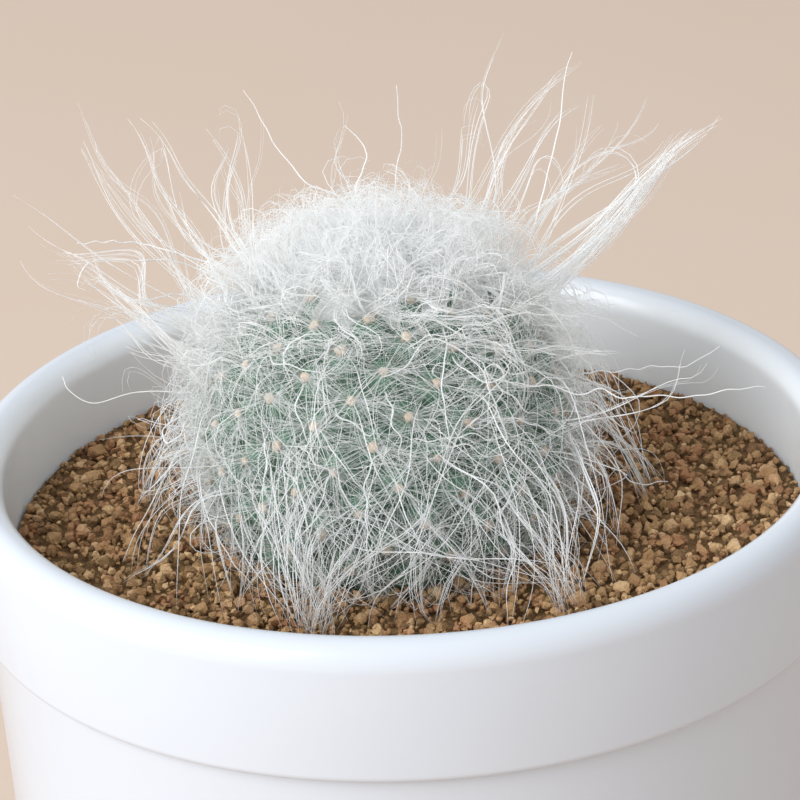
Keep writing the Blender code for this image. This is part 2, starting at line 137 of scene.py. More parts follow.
# Tufts that stand up or out: azimuth of the tip round the cactus (0 is +X, 90 is the back), reach
# of the tip from its axis and height of the tip over its centre, both in millimetres, polar angle
# of the root from the crown, number of locks, and how much hair it has against a full tuft
STANDING_TUFTS = (
    (13, 35.0, 29.0, 50, 4, 1.4),
    (20, 30.5, 28.5, 46, 2, 0.7),
    (26, 22.6, 35.5, 34, 1, 0.9),
    (45, 19.5, 36.5, 28, 2, 0.6),
    (28, 27.0, 33.5, 38, 2, 0.7),
    (-65, 2.5, 34.0, 12, 1, 0.4),
    (180, 4.0, 32.0, 14, 1, 0.4),
    (188, 12.0, 35.0, 30, 1, 0.5),
    (147, 20.0, 32.0, 40, 2, 0.7),
    (171, 24.8, 33.5, 44, 2, 0.8),
    (173, 29.9, 32.5, 50, 2, 0.8),
    (166, 37.0, 24.0, 62, 1, 0.6),
    (180, 30.3, 22.8, 60, 4, 0.9),
    (184, 36.5, 22.0, 66, 1, 0.7),
    (188, 28.5, 17.5, 66, 2, 0.6),
    (197, 32.0, 11.0, 78, 2, 0.4),
    (203, 27.0, 5.5, 86, 1, 0.5),
    (-21, 38.5, 11.0, 74, 1, 0.3),
    (-20, 34.0, 14.0, 70, 1, 0.4),
    (-33, 28.0, 16.0, 66, 1, 0.5),
    (6, 27.0, 0.5, 84, 2, 0.35),
    (-4, 26.0, -4.5, 90, 2, 0.35),
)
STANDING_ROOT_SPREAD = (14.0, 6.0)
STANDING_TIP_SPREAD = (3.0, 2.0)
SLEEK_SPREAD = 0.3

# Tufts at the back: reach, height and root polar angle, by turns
BACK_TUFTS = 11
BACK_AZIMUTHS = (38, 144)
BACK_TUFT_FORMS = ((21.5, 30.0, 50), (26.0, 20.0, 63), (31.0, 9.0, 77))
BACK_TUFT_SPREAD = 2.5
BACK_TUFT_LOCKS = 2

# Tufts that hang and meet in points on the soil: azimuth and reach of the point in millimetres,
# number of locks, and how much hair it has against a full tuft
HANGING_TUFTS = (
    (-107, 27.0, 5, 0.8),
    (-55, 29.0, 5, 0.6),
    (-80, 25.0, 2, 0.5),
    (-94, 22.5, 2, 0.5),
    (-67, 24.5, 2, 0.5),
    (-128, 25.5, 3, 0.3),
    (-152, 28.5, 3, 0.15),
    (-28, 25.0, 3, 0.15),
)
BACK_WEIGHT = 0.4
BACK_HANGING_TUFTS = 6
BACK_HANGING_AZIMUTHS = (-8, 190)
BACK_HANGING_REACH = (24.0, 28.0)
BACK_HANGING_LOCKS = 3
HANGING_FAN = 34.0
HANGING_JITTER = 3.0
HANGING_POINT_JITTER = 0.6
HANGING_ROOT_POLARS = (74, 96)
HANGING_DROP = 0.2

# Short upright curls on the crown
CURLS = 34
CURL_POLARS = (6, 46)
CURL_REACH = (5.0, 9.0)
CURL_LEAN = 50.0

# Single hairs that stand clear of the rest, from the skin to the tip: azimuth and polar angle in
# degrees as above, and height over the skin in millimetres
SINGLE_HAIRS = (
    ((-80, 41, 0.3), (-71, 39, 1.5), (-63, 41, 2.2), (-54, 41, 3.0), (-45, 43, 3.6), (-36, 44, 4.2),
     (-23, 51, 5.5), (-12, 58, 7.0), (-7, 68, 9.0)),
    ((-6, 73, 0.3), (-7, 72, 3.0), (-4, 75, 6.0), (1, 78, 8.6), (0, 79, 12.1), (0, 77, 15.7)),
    ((-55, 56, 0.3), (-51, 56, 1.5), (-42, 61, 2.4), (-34, 65, 3.5), (-31, 69, 4.6), (-26, 70, 6.0),
     (-26, 73, 8.0), (-24, 74, 10.5), (-22, 76, 14.0), (-21, 76, 18.0), (-19, 77, 21.0)),
    ((-48, 56, 0.6), (-40, 62, 2.4), (-34, 62, 3.0), (-29, 65, 4.0)),
    ((-91, 48, 0.3), (-82, 47, 1.0), (-77, 43, 1.6), (-68, 41, 2.2), (-63, 45, 2.6), (-58, 51, 3.0),
     (-57, 58, 3.0), (-57, 64, 2.8), (-61, 67, 2.6), (-65, 66, 2.4), (-63, 64, 2.4)),
    ((-57, 34, 0.3), (-64, 43, 2.0), (-71, 53, 2.6), (-72, 59, 2.6), (-72, 68, 2.0), (-73, 74, 1.4)),
    ((-62, 46, 1.2), (-62, 51, 2.2), (-58, 55, 2.6), (-53, 57, 2.8), (-50, 56, 3.0), (-52, 53, 3.0),
     (-56, 53, 2.6), (-54, 56, 2.2)),
    ((-65, 48, 1.4), (-70, 48, 2.0), (-73, 50, 2.0), (-70, 52, 1.6), (-66, 51, 1.8), (-60, 49, 2.2)),
    ((-50, 52, 0.6), (-52, 57, 2.0), (-49, 62, 2.4), (-46, 67, 2.6), (-39, 71, 2.4)),
    ((-55, 60, 0.6), (-55, 64, 2.0), (-55, 69, 2.4), (-56, 73, 2.4), (-59, 74, 2.0), (-62, 75, 1.6)),
    ((-60, 66, 0.6), (-55, 66, 2.0), (-47, 70, 2.8), (-41, 75, 3.2), (-32, 82, 3.4)),
    ((-82, 67, 0.6), (-75, 68, 1.8), (-66, 68, 2.4), (-59, 71, 2.4), (-50, 72, 2.6), (-44, 75, 2.6)),
    ((-107, 58, 0.6), (-103, 61, 1.6), (-98, 63, 1.8), (-95, 65, 1.8), (-93, 64, 1.8)),
    ((-90, 53, 0.6), (-88, 57, 1.8), (-88, 62, 2.0), (-86, 67, 1.8), (-87, 73, 1.4)),
    ((-120, 52, 0.6), (-119, 56, 1.8), (-118, 60, 2.0), (-115, 65, 2.0), (-113, 68, 1.6)),
    ((-118, 69, 0.6), (-112, 72, 1.8), (-108, 74, 2.2), (-102, 77, 2.4)),
    ((-90, 69, 0.6), (-94, 72, 2.0), (-96, 77, 2.6), (-96, 83, 3.0), (-96, 94, 3.4), (-96, 105, 3.6)),
    ((-131, 68, 0.6), (-127, 71, 2.0), (-125, 74, 2.2), (-125, 79, 2.4), (-125, 85, 2.2)),
    ((-106, 74, 0.6), (-107, 79, 2.0), (-109, 85, 2.6), (-112, 95, 3.4), (-115, 108, 4.0)),
    ((-97, 84, 0.6), (-103, 87, 2.0), (-108, 90, 2.8), (-112, 95, 3.2), (-114, 108, 4.0)),
    ((177, 75, 1.0), (179, 77, 6.7), (181, 80, 10.9), (181, 78, 13.4), (180, 76, 14.3)),
    ((182, 83, 0.6), (186, 94, 3.5), (190, 101, 6.2), (193, 105, 8.7), (196, 108, 10.8)),
    ((186, 75, 0.6), (185, 80, 2.5), (188, 82, 4.0), (194, 83, 4.0), (197, 80, 3.0), (194, 77, 2.4)),
    ((-48, 84, 0.6), (-45, 87, 2.6), (-42, 93, 3.4), (-38, 102, 4.2), (-31, 115, 5.0)),
    ((2, 23, 1.0), (9, 21, 3.0), (22, 26, 4.5), (34, 34, 5.8), (30, 38, 6.9)),
    ((-62, 21, 1.0), (-53, 24, 3.0), (-43, 31, 3.5), (-40, 38, 3.0)),
    ((-142, 47, 0.6), (-132, 49, 2.0), (-120, 49, 2.6), (-110, 50, 2.4)),
    ((-152, 51, 0.8), (-139, 46, 2.4), (-129, 42, 3.0)),
    ((-165, 92, 0.8), (-154, 90, 2.0), (-147, 94, 3.0), (-141, 99, 3.5), (-135, 105, 4.0), (-129, 109, 4.4)),
    ((-122, 77, 0.8), (-116, 79, 2.0), (-113, 83, 2.6), (-112, 87, 3.0), (-111, 90, 3.0)),
    ((-17, 87, 0.8), (-10, 94, 3.0), (-14, 96, 5.0), (-16, 98, 7.0), (-10, 99, 9.9)),
    ((-14, 76, 0.8), (-14, 78, 3.0), (-14, 83, 4.5), (-6, 90, 6.0)),
    ((-74, 70, 0.6), (-71, 70, 2.0), (-67, 71, 2.6), (-61, 76, 2.6)),
    ((76, 22, 1.0), (78, 22, 4.6), (76, 21, 8.3), (69, 16, 11.0), (62, 10, 14.0), (58, 8, 17.0)),
    ((98, 22, 1.0), (110, 23, 5.2), (127, 25, 7.6), (131, 26, 9.9), (134, 27, 12.4), (136, 27, 16.0),
     (138, 27, 18.5)),
    ((101, 22, 0.8), (102, 22, 5.8), (97, 20, 8.0), (94, 21, 9.6), (98, 21, 11.1), (104, 21, 12.4)),
    ((22, 45, 1.0), (23, 44, 4.7), (25, 41, 8.9), (26, 38, 13.3), (27, 36, 17.1), (29, 34, 20.8),
     (29, 33, 23.6)),
    ((159, 46, 1.0), (159, 45, 4.1), (165, 50, 10.7), (167, 52, 13.3), (178, 51, 16.0), (188, 51, 19.0)),
    ((159, 45, 1.0), (164, 50, 8.3), (178, 50, 12.0), (180, 53, 15.0), (188, 53, 17.0), (190, 56, 17.0),
     (188, 57, 15.6)),
    ((163, 50, 1.0), (167, 55, 6.3), (180, 55, 9.0), (181, 57, 11.0), (172, 59, 12.2)),
)

# The white crown leans to the back. Its wool is full up to the first of these angles from its
# middle and gone at the second, in degrees
CROWN_LEAN = 12.0
CROWN_EDGE = (30.0, 58.0)
WISP_HAIRS = 5
WISP_SPREAD = 0.00022
WISP_STRAY = 0.12

# Down that fills the crown between its hairs: height over the skin, and the angle from the crown's
# middle where it ends, how far that strays and how wide its slope is, in degrees
DOWN_HEIGHT = 0.0034
DOWN_EDGE = 34.0
DOWN_RAGGED = 14.0
DOWN_SLOPE = 22.0
# Height of the down's lumps against its own height, and lumps to a radian; then how far up the
# globe the down is cut off underneath, as a share of the radius
DOWN_LUMPS = ((0.35, 12.0), (0.3, 40.0), (0.2, 110.0))
DOWN_CUT = 0.6

# Flank hair: polar angles where it starts and where it thins, share below that, and the azimuths
# with less hair and their share. Falling hair: polar angles that it grows between
FLANK_TOP = 34.0
FLANK_THINS = 74.0
LOW_FLANK_SHARE = 0.45
SPARSE_AZIMUTHS = (-30.0, 60.0)
SPARSE_SHARE = 0.6
FALLING_POLARS = (36.0, 100.0)

# Hairs that leave the skin one by one and gather in the points of the hanging tufts
GATHERED_ROOT_TURN = 27.0
GATHERED_ROOT_POLARS = (52.0, 97.0)
GATHERED_POINT_SPREAD = 0.0007
GATHERED_END_TURN = 1.5
# Share of them that end loose, and how far those turn away, in degrees
LOOSE_ENDS = 0.3
LOOSE_END_TURN = 12.0

# Single hairs: cuts between two listed points, radii, and height and length of their ripples
SINGLE_HAIR_CUTS = 8
SINGLE_HAIR_RADII = (0.000070, 0.000100)
RIPPLE_HEIGHTS = (0.00004, 0.00016)
RIPPLE_LENGTHS = (0.0026, 0.0042)

# Crumbs of soil: number of shapes, jitter of their spiral, share of large ones, sizes of both
GRAIN_SHAPES = 24
GRAIN_JITTER = 0.6
GRAIN_LARGE = 0.22
GRAIN_SIZES = ((1.1, 1.8), (0.55, 1.1))
GRAIN_LIFT = 0.0001
FINE_CORNERS = 13
COARSE_CORNERS = 22

# The stage
FLOOR_RADIUS = 3.0
FLOOR_SIDES = 96
RIM_CENTRE = Vector((0.0, 0.0, POT_HEIGHT))
CAMERA_SHIFT = (-0.00051, 0.00323)
KEY_SIZE = 0.9
KEY_COLOUR = (0.93, 0.97, 1.0)
KEY_PLACE = Vector((-0.85, -0.60, 0.68))


class HairForm(NamedTuple):
    """How one kind of hair grows; lengths are in metres and turns in radians for each segment."""

    lengths: tuple
    radius: float
    segment: float
    droop: float
    curl: float
    waves: tuple
    layer: float
    hug: float


CROWN_WOOL = HairForm((0.0070, 0.0160), 0.000036, 0.0014, 0.02, 0.42, (0.0050, 0.0120), 0.0040, 0.5)
FLANK_HAIR = HairForm((0.0060, 0.0150), 0.000030, 0.0015, 0.03, 0.26, (0.0050, 0.0130), 0.0018, 0.8)
FALLING_HAIR = HairForm((0.0140, 0.0260), 0.000046, 0.0016, 0.12, 0.20, (0.0060, 0.0150), 0.0026, 0.6)
SIDE_HAIR = FALLING_HAIR._replace(lengths=(0.0080, 0.0160), radius=0.000036)
FRONT_AZIMUTHS = (-142.0, -28.0)


def colour(name, description, default):
    """A colour among the settings."""
    return FloatVectorProperty(name=name, description=description, default=default, subtype="COLOR")


def number(name, description, default, least=0):
    """A whole number among the settings."""
    return IntProperty(name=name, description=description, default=default, min=least)


def size(name, description, default):
    """A length among the settings."""
    return FloatProperty(name=name, description=description, default=default, unit="LENGTH")


class PotSettings(bpy.types.PropertyGroup):
    """Sizes and colours of the pot."""

    steps: number("Turning Steps", "Number of faces round the pot", 192, 24)
    edge: size("Edge Rounding", "Radius of the soft edges under the band", 0.00085)
    glaze: colour("Glaze", "Colour of the glaze", (0.615, 0.65, 0.71))
    thin_glaze: colour("Thin Glaze", "Colour where the glaze thins or pools", (0.55, 0.58, 0.63))
    # Painted light: the paler colour inside the lip stands for light thrown about inside the white bowl
    painted_light_inner_glaze: colour("Inner Glaze", "Colour of the thicker glaze inside the lip", (0.87, 0.90, 0.93))


class SoilSettings(bpy.types.PropertyGroup):
    """Sizes and colours of the soil and what lies under it."""

    coarse_grains: number("Coarse Grains", "Number of large granules", 1700)
    fine_grains: number("Fine Grains", "Number of small granules", 6600)
    coarse_size: size("Coarse Size", "Mean radius of a large granule", 0.00059)
    fine_size: size("Fine Size", "Mean radius of a small granule", 0.00044)
    light: colour("Light Grains", "Colour of the palest granules", (0.76, 0.52, 0.29))
    middle: colour("Middle Grains", "Colour of most granules", (0.47, 0.285, 0.137))
    red: colour("Red Grains", "Colour of the redder granules", (0.43, 0.205, 0.105))
    dark: colour("Dark Grains", "Colour of the darkest granules", (0.165, 0.098, 0.045))
    net: colour("Net", "Colour of the plastic net", (0.010, 0.040, 0.017))
    gravel: colour("Gravel", "Colour of the gravel", (0.34, 0.27, 0.18))


class FleshSettings(bpy.types.PropertyGroup):
    """Colours of the cactus's skin, areoles and spines."""

    skin: colour("Skin", "Colour of the tubercles", (0.125, 0.285, 0.185))
    # Painted shade in the axils between the tubercles
    painted_axil_shade: colour("Axils", "Colour between the tubercles", (0.040, 0.085, 0.052))
    felt: colour("Felt", "Colour of the felt on the areoles", (0.86, 0.57, 0.34))
    spine: colour("Spines", "Colour of the spines", (0.84, 0.88, 0.85))
    radials: number("Radial Spines", "Spines round each areole", 56)


class HairSettings(bpy.types.PropertyGroup):
    """Numbers and colours of the hair."""

    crown: number("Crown Wool", "Wisps on each areole of the crown", 11)
    flank: number("Flank Hair", "Hairs on each areole of the flanks", 25)
    falling: number("Falling Hair", "Long hairs on each areole of the upper flanks", 4)
    tuft: number("Tuft Hair", "Hairs in each standing or hanging lock", 12, 1)
    gathered: number("Gathered Hair", "Single hairs that join each lock of a hanging tuft", 10)
    hair: colour("Hair", "Colour of the hair", (0.98, 0.985, 0.985))
    # Painted shade for the hollows in the down
    painted_down_shade: colour("Hollows", "Colour of the hollows in the down", (0.86, 0.89, 0.89))
    shade: colour("Dull Hair", "Colour of the dullest hair", (0.88, 0.91, 0.92))


class StageSettings(bpy.types.PropertyGroup):
    """Floor, lights and camera."""

    floor: colour("Floor", "Colour of the floor", (0.61, 0.475, 0.380))
    sky: colour("Surroundings", "Colour of the light from all round", (0.77, 0.78, 0.785))
    sky_strength: FloatProperty(
        name="Surroundings Strength", description="Strength of the light from all round", default=1.0,
    )
    key_power: FloatProperty(
        name="Key Light", description="Power of the large light at the left", default=16.6, unit="POWER",
    )
    distance: size("Camera Distance", "From the camera to the rim's centre", 0.340)
    elevation: FloatProperty(
        name="Camera Elevation", description="Camera's height over the horizon",
        default=math.radians(24.80), subtype="ANGLE",
    )
    roll: FloatProperty(
        name="Camera Roll", description="Turn of the camera about its own axis",
        default=math.radians(-2.81), subtype="ANGLE",
    )
    lens: FloatProperty(
        name="Lens", description="Focal length in millimetres on a 36 mm frame", default=153.0,
    )


class Value:
    """A shader socket in an expression: each operator adds the Math node that works it out."""

    def __init__(self, finish, socket):
        self.finish = finish
        self.socket = socket

    def worked(self, operation, *terms):
        return self.finish.node("ShaderNodeMath", {"operation": operation}, dict(enumerate(terms)))

    def __add__(self, other):
        return self.worked("ADD", self, other)

    def __sub__(self, other):
        return self.worked("SUBTRACT", self, other)

    def __rsub__(self, other):
        return self.worked("SUBTRACT", other, self)

    def __mul__(self, other):
        return self.worked("MULTIPLY", self, other)

    __radd__ = __add__
    __rmul__ = __mul__


class Finish:
    """A material being made: its node tree, its Principled shader, and ways to add to them."""

    def __init__(self, name, constants):
        self.material = bpy.data.materials.new(name)
        self.material.use_nodes = True
        self.tree = self.material.node_tree
        self.shader = self.tree.nodes["Principled BSDF"]
        for socket, value in constants.items():
            self.shader.inputs[socket].default_value = value

    def feed(self, socket, value):
        """Links a value to a socket, or sets the socket to a number or a colour."""
        if isinstance(value, Value):
            self.tree.links.new(value.socket, socket)
        elif socket.type == "RGBA":
            socket.default_value = (*value[:3], 1.0)
        else:
            socket.default_value = value

    def node(self, kind, settings=None, sockets=None, output=0):
        """Adds a node, its settings first and then its sockets, and gives back one of its outputs."""
        added = self.tree.nodes.new(kind)
        for name, setting in (settings or {}).items():
            if name == "stops":
                set_stops(added.color_ramp, setting)
            else:
                setattr(added, name, setting)
        for key, value in (sockets or {}).items():
            self.feed(added.inputs[key], value)
        return Value(self, added.outputs[output])

    def place(self):
        return self.node("ShaderNodeTexCoord", output="Object")

    def cloud(self, scale, detail=2.0, roughness=0.5):
        """Smooth noise from 0 to 1; scale is features to a metre."""
        sockets = {"Vector": self.place(), "Scale": scale, "Detail": detail, "Roughness": roughness}
        return self.node("ShaderNodeTexNoise", None, sockets)

    def cells(self, scale, output="Distance"):
        """Distance to the nearest of scattered points, or another output of the same pattern."""
        return self.node("ShaderNodeTexVoronoi", None, {"Vector": self.place(), "Scale": scale}, output)

    def ramp(self, factor, stops):
        return self.node("ShaderNodeValToRGB", {"stops": stops}, {"Fac": factor})

    def mix(self, factor, first, second):
        """Two colours mixed by a factor that is kept between 0 and 1."""
        return self.node("ShaderNodeMix", {"data_type": "RGBA"}, {0: factor, 6: first, 7: second}, 2)

    def attribute(self, name):
        return self.node("ShaderNodeAttribute", {"attribute_name": name}, None, "Fac")

    def bump(self, height, strength, distance):
        """Feeds a height to the shader's normal."""
        sockets = {"Height": height, "Strength": strength, "Distance": distance}
        self.feed(self.shader.inputs["Normal"], self.node("ShaderNodeBump", None, sockets))

    def surface(self, colour, roughness):
        """Feeds the shader's colour and roughness, and gives back the material."""
        self.feed(self.shader.inputs["Base Color"], colour)
        self.feed(self.shader.inputs["Roughness"], roughness)
        return self.material


def set_stops(ramp, stops):
    """Sets a colour ramp to a list of places and colours."""
    while len(ramp.elements) < len(stops):
        ramp.elements.new(1.0)
    for element, (position, colour) in zip(ramp.elements, stops):
        element.position = position
        element.color = (*colour[:3], 1.0)


# Light goes into hairs, spines and down and comes out again white
TRANSLUCENT = {"Subsurface Weight": 0.8, "Subsurface Radius": (1.0, 1.0, 1.0), "Subsurface Scale": 0.0004}
# Painted glow: the faint emission stands for light passing from hair to hair more often than is worked out
TRANSLUCENT_PAINTED_GLOW = {**TRANSLUCENT, "Emission Strength": 0.08}
TRANSLUCENT_FAINT_PAINTED_GLOW = {**TRANSLUCENT, "Emission Strength": 0.035}


def glaze_finish(settings):
    """Thick white glaze: glossy, thinner and greyer here and there; paler inside as painted light thrown
    about the bowl.
    """
    glaze = Finish("glossy_glaze", {"Coat Weight": 0.1, "Coat Roughness": 0.1, "Specular IOR Level": 0.25})
    cloud = glaze.cloud(45.0, 3.0)
    colour = glaze.mix(cloud * 0.5, settings.glaze, settings.thin_glaze)
    # Painted light: the inside of the bowl is painted paler, for light thrown about in it
    colour = glaze.mix(glaze.attribute("inside"), colour, settings.painted_light_inner_glaze)
    glaze.bump(glaze.cloud(130.0, 1.0), 0.08, 0.0004)
    return glaze.surface(colour, cloud * 0.1 + 0.14)


def net_finish(settings):
    """Dull moulded plastic with soil dust on it."""
    net = Finish("moulded_net", {"Specular IOR Level": 0.4})
    dust = net.cloud(900.0, 4.0, 0.7)
    net.bump(net.cloud(3000.0, 2.0), 0.2, 0.0001)
    colour = net.mix((dust - 0.45) * 3.0, settings.net, settings.middle)
    return net.surface(colour, dust * 0.3 + 0.4)


def gravel_finish(settings):
    """Coarse stones a few millimetres across, each of its own tone, with painted shade between them."""
    gravel = Finish("coarse_gravel", {"Specular IOR Level": 0.3})
    edges = gravel.cells(260.0)
    tone = gravel.node("ShaderNodeSeparateColor", None, {"Color": gravel.cells(260.0, "Color")})
    grit = gravel.cloud(2400.0, 5.0, 0.7)
    colour = gravel.mix(tone, settings.gravel, settings.light)
    # Painted shade: darker in the sunken gaps between the stones
    colour = gravel.mix((edges - 0.35) * 2.5, colour, settings.dark)
    gravel.bump(grit * 0.2 - edges, 0.9, 0.0012)
    return gravel.surface(colour, grit * 0.2 + 0.75)


def soil_finish(settings):
    """Dark fine soil that shows between the granules, with painted shade in the gaps of its crumbs."""
    soil = Finish("soil_dust", {"Specular IOR Level": 0.15})
    edges = soil.cells(1300.0)
    grit = soil.cloud(5200.0, 5.0, 0.7)
    colour = soil.mix(grit, settings.dark, settings.middle)
    # Painted shade: darker in the sunken gaps between the cells
    colour = soil.mix(edges * 0.8, colour, settings.dark)
    soil.bump(grit * 0.4 - edges, 0.9, 0.0005)
    return soil.surface(colour, grit * 0.1 + 0.88)


def grain_finish(settings):
    """Hard baked granules: each has its own tone, with pores."""
    grain = Finish("baked_grains", {"Specular IOR Level": 0.2})
    tone = grain.attribute("tone")
    grit = grain.cloud(4200.0, 5.0, 0.65)
    pores = grain.cells(5200.0)
    base = grain.ramp(tone + (grit - 0.5) * 0.7, (
        (0.05, settings.dark),
        (0.45, settings.middle),
        (0.75, settings.middle),
        (1.00, settings.light),
    ))
    base = grain.mix((grain.cloud(330.0, 2.0) - 0.45) * 3.0, base, settings.red)
    # Painted shade: the sunken pores are darkened
    colour = grain.mix((0.22 - pores) * 2.0, base, settings.dark)
    grain.bump(grit + pores * 0.5, 0.8, 0.00022)
    return grain.surface(colour, grit * 0.12 + 0.84)


def skin_finish(settings):
    """Waxy green skin with fine pale dots, darker between the tubercles as painted shade."""
    skin = Finish("waxy_skin", {"Specular IOR Level": 0.45, "Coat Weight": 0.08, "Coat Roughness": 0.3})
    rise = skin.attribute("rise")
    cloud = skin.cloud(420.0, 4.0, 0.6)
    dots = skin.cells(7000.0)
    # Painted shade: the skin darkens from the tubercles' tips down into the axils between them
    colour = skin.mix(rise * 1.2 + (cloud - 0.5) * 0.7, settings.painted_axil_shade, settings.skin)
    colour = skin.mix((0.16 - dots) * 1.6, colour, settings.spine)
    skin.bump(cloud * 0.4 + dots * 0.3, 0.35, 0.0002)
    return skin.surface(colour, cloud * 0.25 + 0.35)


def felt_finish(settings):
    """Short felt of the areoles, tan with white tufts."""
    felt = Finish("areole_felt", {"Sheen Weight": 0.4, "Specular IOR Level": 0.2})
    nap = felt.cloud(6500.0, 4.0, 0.7)
    colour = felt.mix(nap * 1.3 - 0.25, settings.felt, settings.spine)
    felt.bump(nap, 0.9, 0.00015)
    return felt.surface(colour, nap * 0.1 + 0.85)


def spine_finish(settings):
    """Glassy white spines, a little yellower here and there."""
    spine = Finish("glassy_spines", {"Specular IOR Level": 0.5, **TRANSLUCENT})
    cloud = spine.cloud(500.0, 2.0)
    foot = spine.cloud(3800.0, 2.0)
    colour = spine.mix((foot - 0.5) * 0.7, settings.spine, settings.felt)
    spine.bump(foot, 0.1, 0.00004)
    return spine.surface(colour, cloud * 0.2 + 0.35)


def hair_finish(settings, name, constants):
    """Silky white hair, duller here and there."""
    hair = Finish(name, {"Specular IOR Level": 0.5, **constants})
    cloud = hair.cloud(260.0, 3.0)
    streak = hair.cloud(3000.0, 2.0)
    colour = hair.mix(cloud * 1.8 - 0.45, settings.hair, settings.shade)
    hair.bump(streak, 0.08, 0.00003)
    return hair.surface(colour, streak * 0.2 + 0.38)


def down_finish(settings):
    """Matted white down with a faint painted glow, greyer in places as painted shade for its hollows."""
    down = Finish("matted_down", {"Specular IOR Level": 0.15, "Sheen Weight": 0.3, **TRANSLUCENT_PAINTED_GLOW})
    sockets = {"Vector": down.place(), "Scale": 900.0, "Detail": 5.0, "Roughness": 0.7, "Distortion": 3.0}
    tangle = down.node("ShaderNodeTexNoise", None, sockets)
    # Painted shade: a greyer colour where the tangle noise is high, standing for the down's hollows
    colour = down.mix(tangle * 3.0 - 1.1, settings.hair, settings.painted_down_shade)
    down.bump(tangle, 1.0, 0.0006)
    return down.surface(colour, tangle * 0.1 + 0.85)


def floor_finish(settings):
    """Plain pale floor with a faint mottle."""
    floor = Finish("pale_floor", {"Specular IOR Level": 0.2})
    cloud = floor.cloud(9.0, 3.0)
    colour = floor.mix(cloud * 0.16, settings.floor, settings.sky)
    floor.bump(floor.cloud(700.0, 3.0), 0.05, 0.0003)
    return floor.surface(colour, cloud * 0.1 + 0.7)


def placed(name, data):
    """A new object in the scene."""
    thing = bpy.data.objects.new(name, data)
    bpy.context.scene.collection.objects.link(thing)
    return thing


def as_mesh(name, bm):
    """A mesh made from a bmesh, which it frees."""
    mesh = bpy.data.meshes.new(name)
    bm.to_mesh(mesh)
    bm.free()
    return mesh


def mark(piece, name, values):
    """Gives each point of a piece a value for its material to read."""
    piece.data.attributes.new(name, "FLOAT", "POINT").data.foreach_set("value", values)


def share_of(value):
    """The value kept between 0 and 1."""
    return max(0.0, min(1.0, value))


def scattered(rng):
    """A random vector of no set length."""
    return Vector((rng.gauss(0, 1), rng.gauss(0, 1), rng.gauss(0, 1)))


def finished(name, bm, material, slot, *replaced):
    """A finished piece of the object made from a bmesh, shaded smooth and riding on the body."""
    mesh = as_mesh(name, bm)
    mesh.materials.append(material)
    mesh.shade_smooth()
    piece = placed(name, mesh)
    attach(piece, BODY)
    if replaced:
        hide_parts(*replaced)
    return piece


def arc(centre_r, centre_z, radius_r, radius_z, start, end, steps):
    """Points of an elliptical arc in the profile plane; angles in degrees, 0 outwards and 90 up."""
    points = []
    for i in range(steps + 1):
        angle = math.radians(start + (end - start) * i / steps)
        points.append((centre_r + radius_r * math.cos(angle), centre_z + radius_z * math.sin(angle)))
    return points


def turned(profile, steps, closed):
    """A bmesh of a profile of (radius, height) points turned about the Z axis."""
    bm = bmesh.new()
    verts = [bm.verts.new((r, 0.0, z)) for r, z in profile]
    edges = [bm.edges.new(pair) for pair in zip(verts, verts[1:])]
    if closed:
        edges.append(bm.edges.new((verts[-1], verts[0])))
    bmesh.ops.spin(
        bm, geom=verts + edges, cent=(0.0, 0.0, 0.0), axis=UP, angle=math.tau, steps=steps,
        use_merge=True,
    )
    bmesh.ops.remove_doubles(bm, verts=bm.verts, dist=0.000001)
    bmesh.ops.recalc_face_normals(bm, faces=bm.faces)
    return bm


def inner_radius(z):
    """The pot's inner radius at a height on its straight wall."""
    share = (z - CORNER_Z) / (LIP_Z - CORNER_Z)
    return INNER_FOOT_RADIUS + (INNER_TOP_RADIUS - INNER_FOOT_RADIUS) * share


def pot_profile(edge):
    """The pot's wall as a closed loop with soft edges: lip, band, step, wall, foot, drain hole, inside."""
    fillet = BAND_STEP - edge
    heel_radius = WALL_FOOT_RADIUS - HEEL_ROUNDING
    foot_inner = heel_radius - FOOT_RING_WIDTH
    soft = edge * 0.6
    profile = arc(RIM_CREST_RADIUS, LIP_Z, LIP_HALF_WIDTH, LIP_ROUNDING, 90, 0, 14)
    profile += arc(BAND_RADIUS - edge, BAND_FOOT_Z + edge, edge, edge, 0, -90, 5)
    profile += arc(WALL_TOP_RADIUS + fillet, BAND_FOOT_Z - fillet, fillet, fillet, 90, 180, 5)
    profile += arc(heel_radius, HEEL_ROUNDING, HEEL_ROUNDING, HEEL_ROUNDING, 0, -90, 10)
    profile += arc(foot_inner + soft, soft, soft, soft, -90, -180, 3)
    profile += [(foot_inner - FOOT_RING_SLOPE, FOOT_RING_HEIGHT)]
    profile += arc(DRAIN_RADIUS + soft, FOOT_RING_HEIGHT + soft, soft, soft, -90, -180, 3)
    profile += arc(DRAIN_RADIUS + soft, FLOOR_Z - soft, soft, soft, 180, 90, 3)
    profile += arc(INNER_FOOT_RADIUS - INNER_CORNER, CORNER_Z, INNER_CORNER, INNER_CORNER, -90, 0, 6)
    profile += arc(RIM_CREST_RADIUS, LIP_Z, LIP_HALF_WIDTH, LIP_ROUNDING, 180, 90, 14)[:-1]
    return profile


def make_pot(settings):
    """The glazed pot."""
    bm = turned(pot_profile(settings.edge), settings.steps, closed=True)
    # Share of the painted light, growing inwards from just inside the lip's crest, above the floor
    inside = []
    for vert in bm.verts:
        depth = RIM_CREST_RADIUS - vert.co.xy.length - INNER_PAINTED_LIGHT_START
        past_floor = vert.co.z > FLOOR_Z - SEAT_GAP
        inside.append(past_floor * share_of(depth / INNER_PAINTED_LIGHT_BLEND))
    mark(finished("pot_glazed", bm, glaze_finish(settings), "white_glaze", "pot"), "inside", inside)


